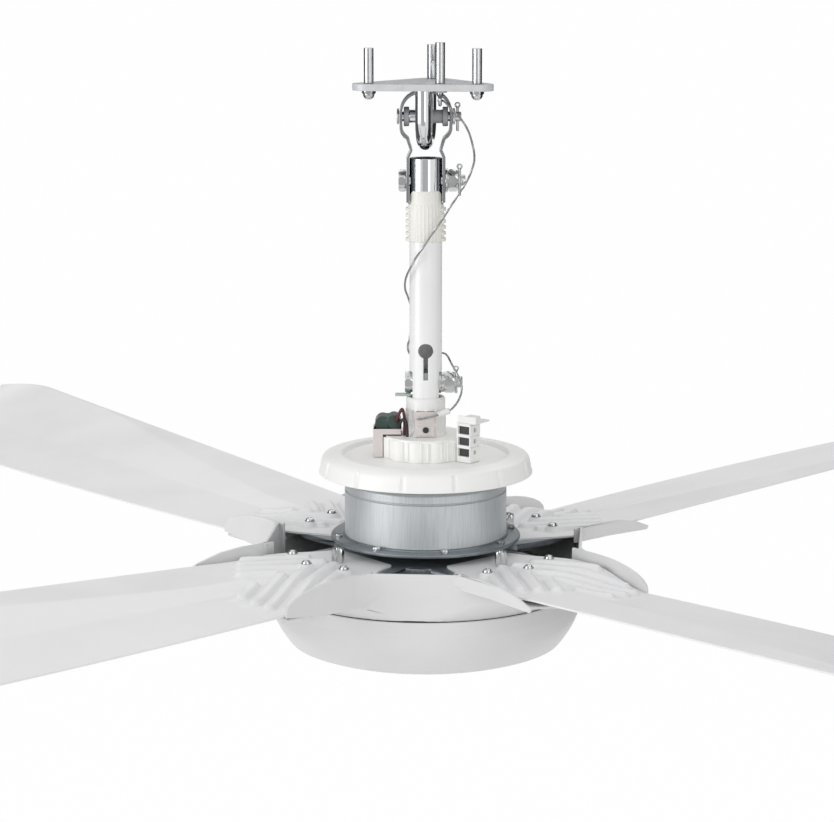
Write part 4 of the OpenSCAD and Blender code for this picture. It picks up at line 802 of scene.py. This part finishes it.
# Leads from the capacitor into the hub
leads = {
    "brown": ("brownLead", "lead_brown", [(-24.5, -8.2, -281), (-24.5, -10.2, -280.4), (-22, -11.6, -274),
                                          (-19.6, -12, -270.5), (-18, -11, -276), (-17.6, -9.4, -284),
                                          (-17.8, -8.6, -291.5), (-17.8, -8.6, -293.35)]),
    "black": ("blackLead", "lead_black", [(-22.4, -8.2, -286.5), (-22.4, -10.8, -285.6), (-20.2, -13.4, -280),
                                          (-17.4, -14.6, -279), (-15.8, -14.6, -284), (-15.4, -14.2, -291.5),
                                          (-15.4, -14.2, -293.35)]),
}
for name, (finish, node, path) in leads.items():
    fit(makePiece(name + "Lead", tube(smoothPath(path, 6), 1.3, 12), finish, 60), "downrod", node[5:] + "_lead",
        node)

# Top cover: a shallow dish with a ring groove and notches pressed into its skirt
cover = {"notches": 13, "firstShare": 0.3, "notchHalf": 0.016, "notchDepth": 1.5}
coverProfile = [(r, fan["coverFloor"] + z) for r, z in (
    (9.5, -1.6), (9.5, -0.2), (10, 0), (40, 0), (66.4, 0), (66.8, -1.3), (69.3, -1.3), (69.7, 2.2), (70.3, 2.9),
    (71.4, 3.2), (74, 2.6), (81, 1.9), (84, 1.2), (86, 0.4), (87, -0.8), (87.9, -3), (89.2, -10.6), (90, -12.7),
    (90.0, -13.3), (89.6, -13.5), (88.2, -13.5), (86.6, -8), (85.2, -2.6), (82, -1.6))]


def skirtNotch(angle, index):
    step = 2 * math.pi / cover["notches"]
    gap = abs((angle - cover["firstShare"] * step + step / 2) % step - step / 2)
    push = -cover["notchDepth"] * eased((cover["notchHalf"] * 1.6 - gap) / cover["notchHalf"])
    return push if index in (14, 15, 16) else 0


fit(makePiece("topCover", spun(coverProfile, cover["notches"] * 44, skirtNotch), "warmWhitePlastic", 40),
    "downrod", "warm_white_plastic", "top_cover")
print("hub, sleeve, leads and top cover made")

# Soft folds where the fairings leave the cover's band, found by probing the cover from the front
folds = {"left": ((-44, -47), (-60, -64), -382.0, -408.5, 12.0), "right": ((18, 21), (33, 36), -382.0, -392.0, 8.0),
         "levels": 30, "steps": 12, "webX": (-58, 12), "webZ": (-400, -421.2), "webStep": 1.3, "webPasses": 4}
coverMesh = nodes["hub_cover"].data
coverProbe = BVHTree.FromPolygons([v.co.copy() for v in coverMesh.vertices],
                                  [list(face.vertices) for face in coverMesh.polygons])


def probeFront(x, z):
    hit = coverProbe.ray_cast(Vector((x / 1000, -0.35, z / 1000)), Vector((0, 1, 0)))[0]
    return hit.y * 1000 if hit else 0


def foldStrip(bandX, wallX, top, low, reach):
    rows = []
    for i in range(folds["levels"] + 1):
        z = mixed(top, low, i / folds["levels"])
        bandY, wallY = [probeFront(x, z) for x in bandX], [probeFront(x, z) for x in wallX]
        bandSlope, wallSlope = [(y[1] - y[0]) / (x[1] - x[0]) for x, y in ((bandX, bandY), (wallX, wallY))]
        if abs(wallSlope) < 0.6:
            break
        x = (wallY[0] - bandY[0] + bandSlope * bandX[0] - wallSlope * wallX[0]) / (bandSlope - wallSlope)
        y = bandY[0] + bandSlope * (x - bandX[0])
        side = 1 if bandX[0] > wallX[0] else -1
        span = reach * min(1, (folds["levels"] - i + 1) / 9) ** 0.6
        a = Vector((x + side * span, y + side * span * bandSlope - 0.03, z))
        c = Vector((x - side * span * 0.8, y - side * span * 0.8 * wallSlope - 0.03, z))
        b = Vector((x, y - 0.03, z))
        row = []
        for j in range(folds["steps"] + 1):
            k = j / folds["steps"]
            row.append(tuple(a * (1 - k) ** 2 + b * 2 * k * (1 - k) + c * k * k))
        rows.append(row + [(b.x, b.y + 0.8, z)])
    print("fold levels:", len(rows))
    return loft(rows)


# A thin skin that softens the step under the left fairing, drawn from a blurred probe of the band
def foldWeb():
    (startX, endX), (startZ, endZ) = folds["webX"], folds["webZ"]
    across, down = int((endX - startX) / folds["webStep"]), int((startZ - endZ) / folds["webStep"])
    xs = [mixed(startX, endX, i / across) for i in range(across + 1)]
    zs = [mixed(startZ, endZ, i / down) for i in range(down + 1)]
    bare = [[probeFront(x, z) for x in xs] for z in zs]
    soft = [row[:] for row in bare]
    for _ in range(folds["webPasses"]):
        old = [[min(a, b) for a, b in zip(*rows)] for rows in zip(soft, bare)]
        for i in range(1, down):
            for j in range(1, across):
                around = [old[i + a][j + b] for a in (-1, 0, 1) for b in (-1, 0, 1)]
                edge = min(1, min(i, down - i, j, across - j) / 4)
                soft[i][j] = mixed(bare[i][j], sum(around) / 9, edge)
    rows = []
    for z, softRow, bareRow in zip(zs, soft, bare):
        front = [(x, min(a, b) - 0.05, z) for x, a, b in zip(xs, softRow, bareRow)]
        rows.append(front + [(x, y + 0.6, z) for x, y, z in front[::-1]])
    return loft(rows)


foldSeed = together(foldStrip(*folds["left"]), foldStrip(*folds["right"]), foldWeb())
fit(grow("coverFolds", foldSeed, ringTree, "coverWhite", 50, Count=4), "rotor", "cover_white", "hub_cover")

# Dark ring in the joint between the band and the bowl: painted shadow standing in for the shade in the seam gap
seamShadowRing = [(126, -422.2), (128.3, -422.2), (128.4, -421.9), (128.3, -420.9), (126, -420.9)]
fit(makePiece("paintedSeamShadow", spun(seamShadowRing, 160), "darkPlasticAndShade", 40), "rotor", "dark_plastic", "hub_cover")

# Small hexagon heads on the drum's flange
heads = {"count": 8, "radius": 74.5, "flats": 5.5, "level": fan["drumFoot"] - 1.4, "turn": 12}
headSeed = moved(hexagon(heads["flats"], -0.2, 2.6, 24), x=heads["radius"], z=heads["level"])
fit(grow("flangeHeads", headSeed, ringTree, "brightFastener", 30, Count=heads["count"],
         First_Angle=math.radians(heads["turn"])), "rotor", "bright_fastener", "motor_base")

# Posts of the holder and the blades' screws, one set per blade
posts = {"radius": 95, "rod": 4, "flats": 9, "low": -399.2, "seat": -388.55, "high": -377.5}
post = together(tube([(0, 0, posts["low"]), (0, 0, posts["seat"] + 1)], posts["rod"], 20),
                hexagon(posts["flats"], posts["seat"], posts["high"]),
                tube([(0, 0, posts["high"] - 0.5), (0, 0, posts["high"] + 0.9)], 2.4, 16))
fit(grow("holderPosts", moved(post, x=posts["radius"]), ringTree, "brightFastener", 30, Count=4,
         First_Angle=math.radians(fan["bladeTurn"])), "rotor", "bright_fastener", "holder_posts")
screwHead = [(0.01, -4), (4.4, -4), (4.5, -3.6), (4.4, -3.2), (3.7, -3.1), (3.4, -1.9), (2.6, -1.2), (1.5, -0.9),
             (1.1, -1.4), (0.01, -1.5)]
screwTop = fan["bladePlane"] + 8.2
screw = together(spun(screwHead, 28), tube([(0, 0, -13.6), (0, 0, -3.5)], 2.4, 16))
screwSeed = together(*[moved(screw, x=r, y=t, z=screwTop) for r, t in blade["screws"]])
fit(grow("bladeScrews", screwSeed, ringTree, "brightFastener", 34, Count=4,
         First_Angle=math.radians(fan["bladeTurn"])), "rotor", "bright_fastener", "blade_screws")

# Bowl under the motor: a steep side, a soft crease and a flat dome
bowl = {"radius": 130, "bulge": 132.2, "bulgeDrop": 11, "height": 58.2, "top": -422.3, "wall": 2.2,
        "creaseRadius": 116, "creaseDrop": 46, "sidePower": 1.7, "domePower": 4}


def bowlCurve(inset):
    curve = [(bowl["radius"] - inset, -inset)] if inset else [(bowl["radius"] - 0.6, 0), (bowl["radius"], -0.6)]
    for i in range(27):
        k = i / 26
        side = bowl["bulge"] - (bowl["bulge"] - bowl["creaseRadius"]) * k ** bowl["sidePower"]
        curve.append((side - inset, -mixed(bowl["bulgeDrop"], bowl["creaseDrop"] - inset * 0.7, k)))
    for i in range(38, 0, -1):
        k = i / 40
        curve.append((bowl["creaseRadius"] * k, -bowl["height"] + inset
                      + (bowl["height"] - bowl["creaseDrop"]) * k ** bowl["domePower"]))
    return curve + [(0.01, -bowl["height"] + inset)]


bowlProfile = bowlCurve(0) + bowlCurve(bowl["wall"])[::-1] + [(112, -bowl["wall"]), (112, 0)]
fit(makePiece("bowlShell", moved(spun(bowlProfile, 160), z=bowl["top"]), "coverWhite", 22), "rotor",
    "cover_white", "bottom_bowl")
print("screws, posts and bowl made")


# Stage: pale floor far below, soft lamps, white behind, and cards that only polished metal sees
stage = {
    "floorLevel": -1.25, "floorSize": 600.0, "floorGlow": 0.985, "worldLevel": 0.72,
    "lamps": {"keyLamp": ((-2.4, -1.3, 0.1), 1.6, 24), "fillLamp": ((1.0, -2.5, 0.1), 1.2, 7),
              "backLamp": ((0.3, 1.8, 1.4), 1.8, 6)},
    "cards": {"leftCard": ((-0.9, -0.2), (-0.9, 2.4), -1.2, 0.8, 0.12),
              "rightCard": ((0.9, 2.4), (0.9, -0.2), -1.2, 0.8, 0.03),
              "frontCard": ((1.38, -2.6), (-1.38, -2.6), -1.2, 1.0, 0.55),
              "backCard": ((-1.5, 2.6), (1.5, 2.6), -0.05, 1.0, 0.2)},
}


def stageSheet(name, corners, finish):
    mesh = bpy.data.meshes.new(name)
    mesh.from_pydata(corners, [], [[0, 1, 2, 3]])
    mesh.materials.append(finish)
    sheet = linkMesh(name, mesh)
    return sheet


def seenDirectly(tree, names):
    rays = tree.nodes.new("ShaderNodeLightPath")
    seen = rays.outputs[names[0]]
    for name in names[1:]:
        seen = mathNode(tree, "MAXIMUM", seen, rays.outputs[name])
    return seen


floorFinish = bpy.data.materials.new("paleFloor")
floorFinish.use_nodes = True
floorTree = floorFinish.node_tree
floorShader = floorTree.nodes["Principled BSDF"]
floorShader.inputs["Base Color"].default_value = (0.86, 0.86, 0.86, 1)
floorShader.inputs["Roughness"].default_value = 0.9
floorGlow = addNode(floorTree, "ShaderNodeEmission", Color=(1, 1, 1, 1), Strength=1.0)
glowShare = mathNode(floorTree, "MULTIPLY", seenDirectly(floorTree, ["Is Camera Ray", "Is Glossy Ray"]),
                     stage["floorGlow"])
floorMix = addNode(floorTree, "ShaderNodeMixShader", Fac=glowShare, i1=floorShader.outputs[0], i2=floorGlow.outputs[0])
fromBelow = mathNode(floorTree, "MULTIPLY", floorTree.nodes.new("ShaderNodeNewGeometry").outputs["Backfacing"],
                     seenDirectly(floorTree, ["Is Camera Ray"]))
clearFloor = floorTree.nodes.new("ShaderNodeBsdfTransparent")
floorSides = addNode(floorTree, "ShaderNodeMixShader", Fac=fromBelow, i1=floorMix.outputs[0],
                     i2=clearFloor.outputs[0])  # a camera under the floor looks through it
floorTree.links.new(floorSides.outputs[0], floorTree.nodes["Material Output"].inputs[0])
half, level = stage["floorSize"] / 2, stage["floorLevel"]
stageSheet("floor", [(-half, -half, level), (half, -half, level), (half, half, level), (-half, half, level)],
           floorFinish)

for name, (start, end, low, high, brightness) in stage["cards"].items():
    cardFinish = bpy.data.materials.new(name)
    cardFinish.use_nodes = True
    cardTree = cardFinish.node_tree
    cardGlow = addNode(cardTree, "ShaderNodeEmission", Color=(1, 1, 1, 1), Strength=brightness)
    cardTree.links.new(cardGlow.outputs[0], cardTree.nodes["Material Output"].inputs[0])
    cardFinish.cycles.emission_sampling = "NONE"
    card = stageSheet(name, [(*start, low), (*end, low), (*end, high), (*start, high)], cardFinish)
    card.visible_camera = card.visible_diffuse = card.visible_shadow = card.visible_transmission = False

world = bpy.data.worlds.new("studio")
scene.world = world
world.use_nodes = True
background = world.node_tree.nodes["Background"]
background.inputs["Color"].default_value = (1, 1, 1, 1)
whiteSeen = seenDirectly(world.node_tree, ["Is Camera Ray", "Is Glossy Ray", "Is Transmission Ray"])
world.node_tree.links.new(rangeNode(world.node_tree, whiteSeen, 0.0, 1.0, stage["worldLevel"], 1.0),
                          background.inputs["Strength"])

for name, (place, size, power) in stage["lamps"].items():
    lampData = bpy.data.lights.new(name, "AREA")
    lampData.size = size
    lampData.energy = power
    lamp = bpy.data.objects.new(name, lampData)
    scene.collection.objects.link(lamp)
    lamp.location = place
    lamp.rotation_euler = (Vector((0, 0, -0.3)) - Vector(place)).to_track_quat("-Z", "Y").to_euler()

scene.view_settings.view_transform = "Standard"
print("stage lit")
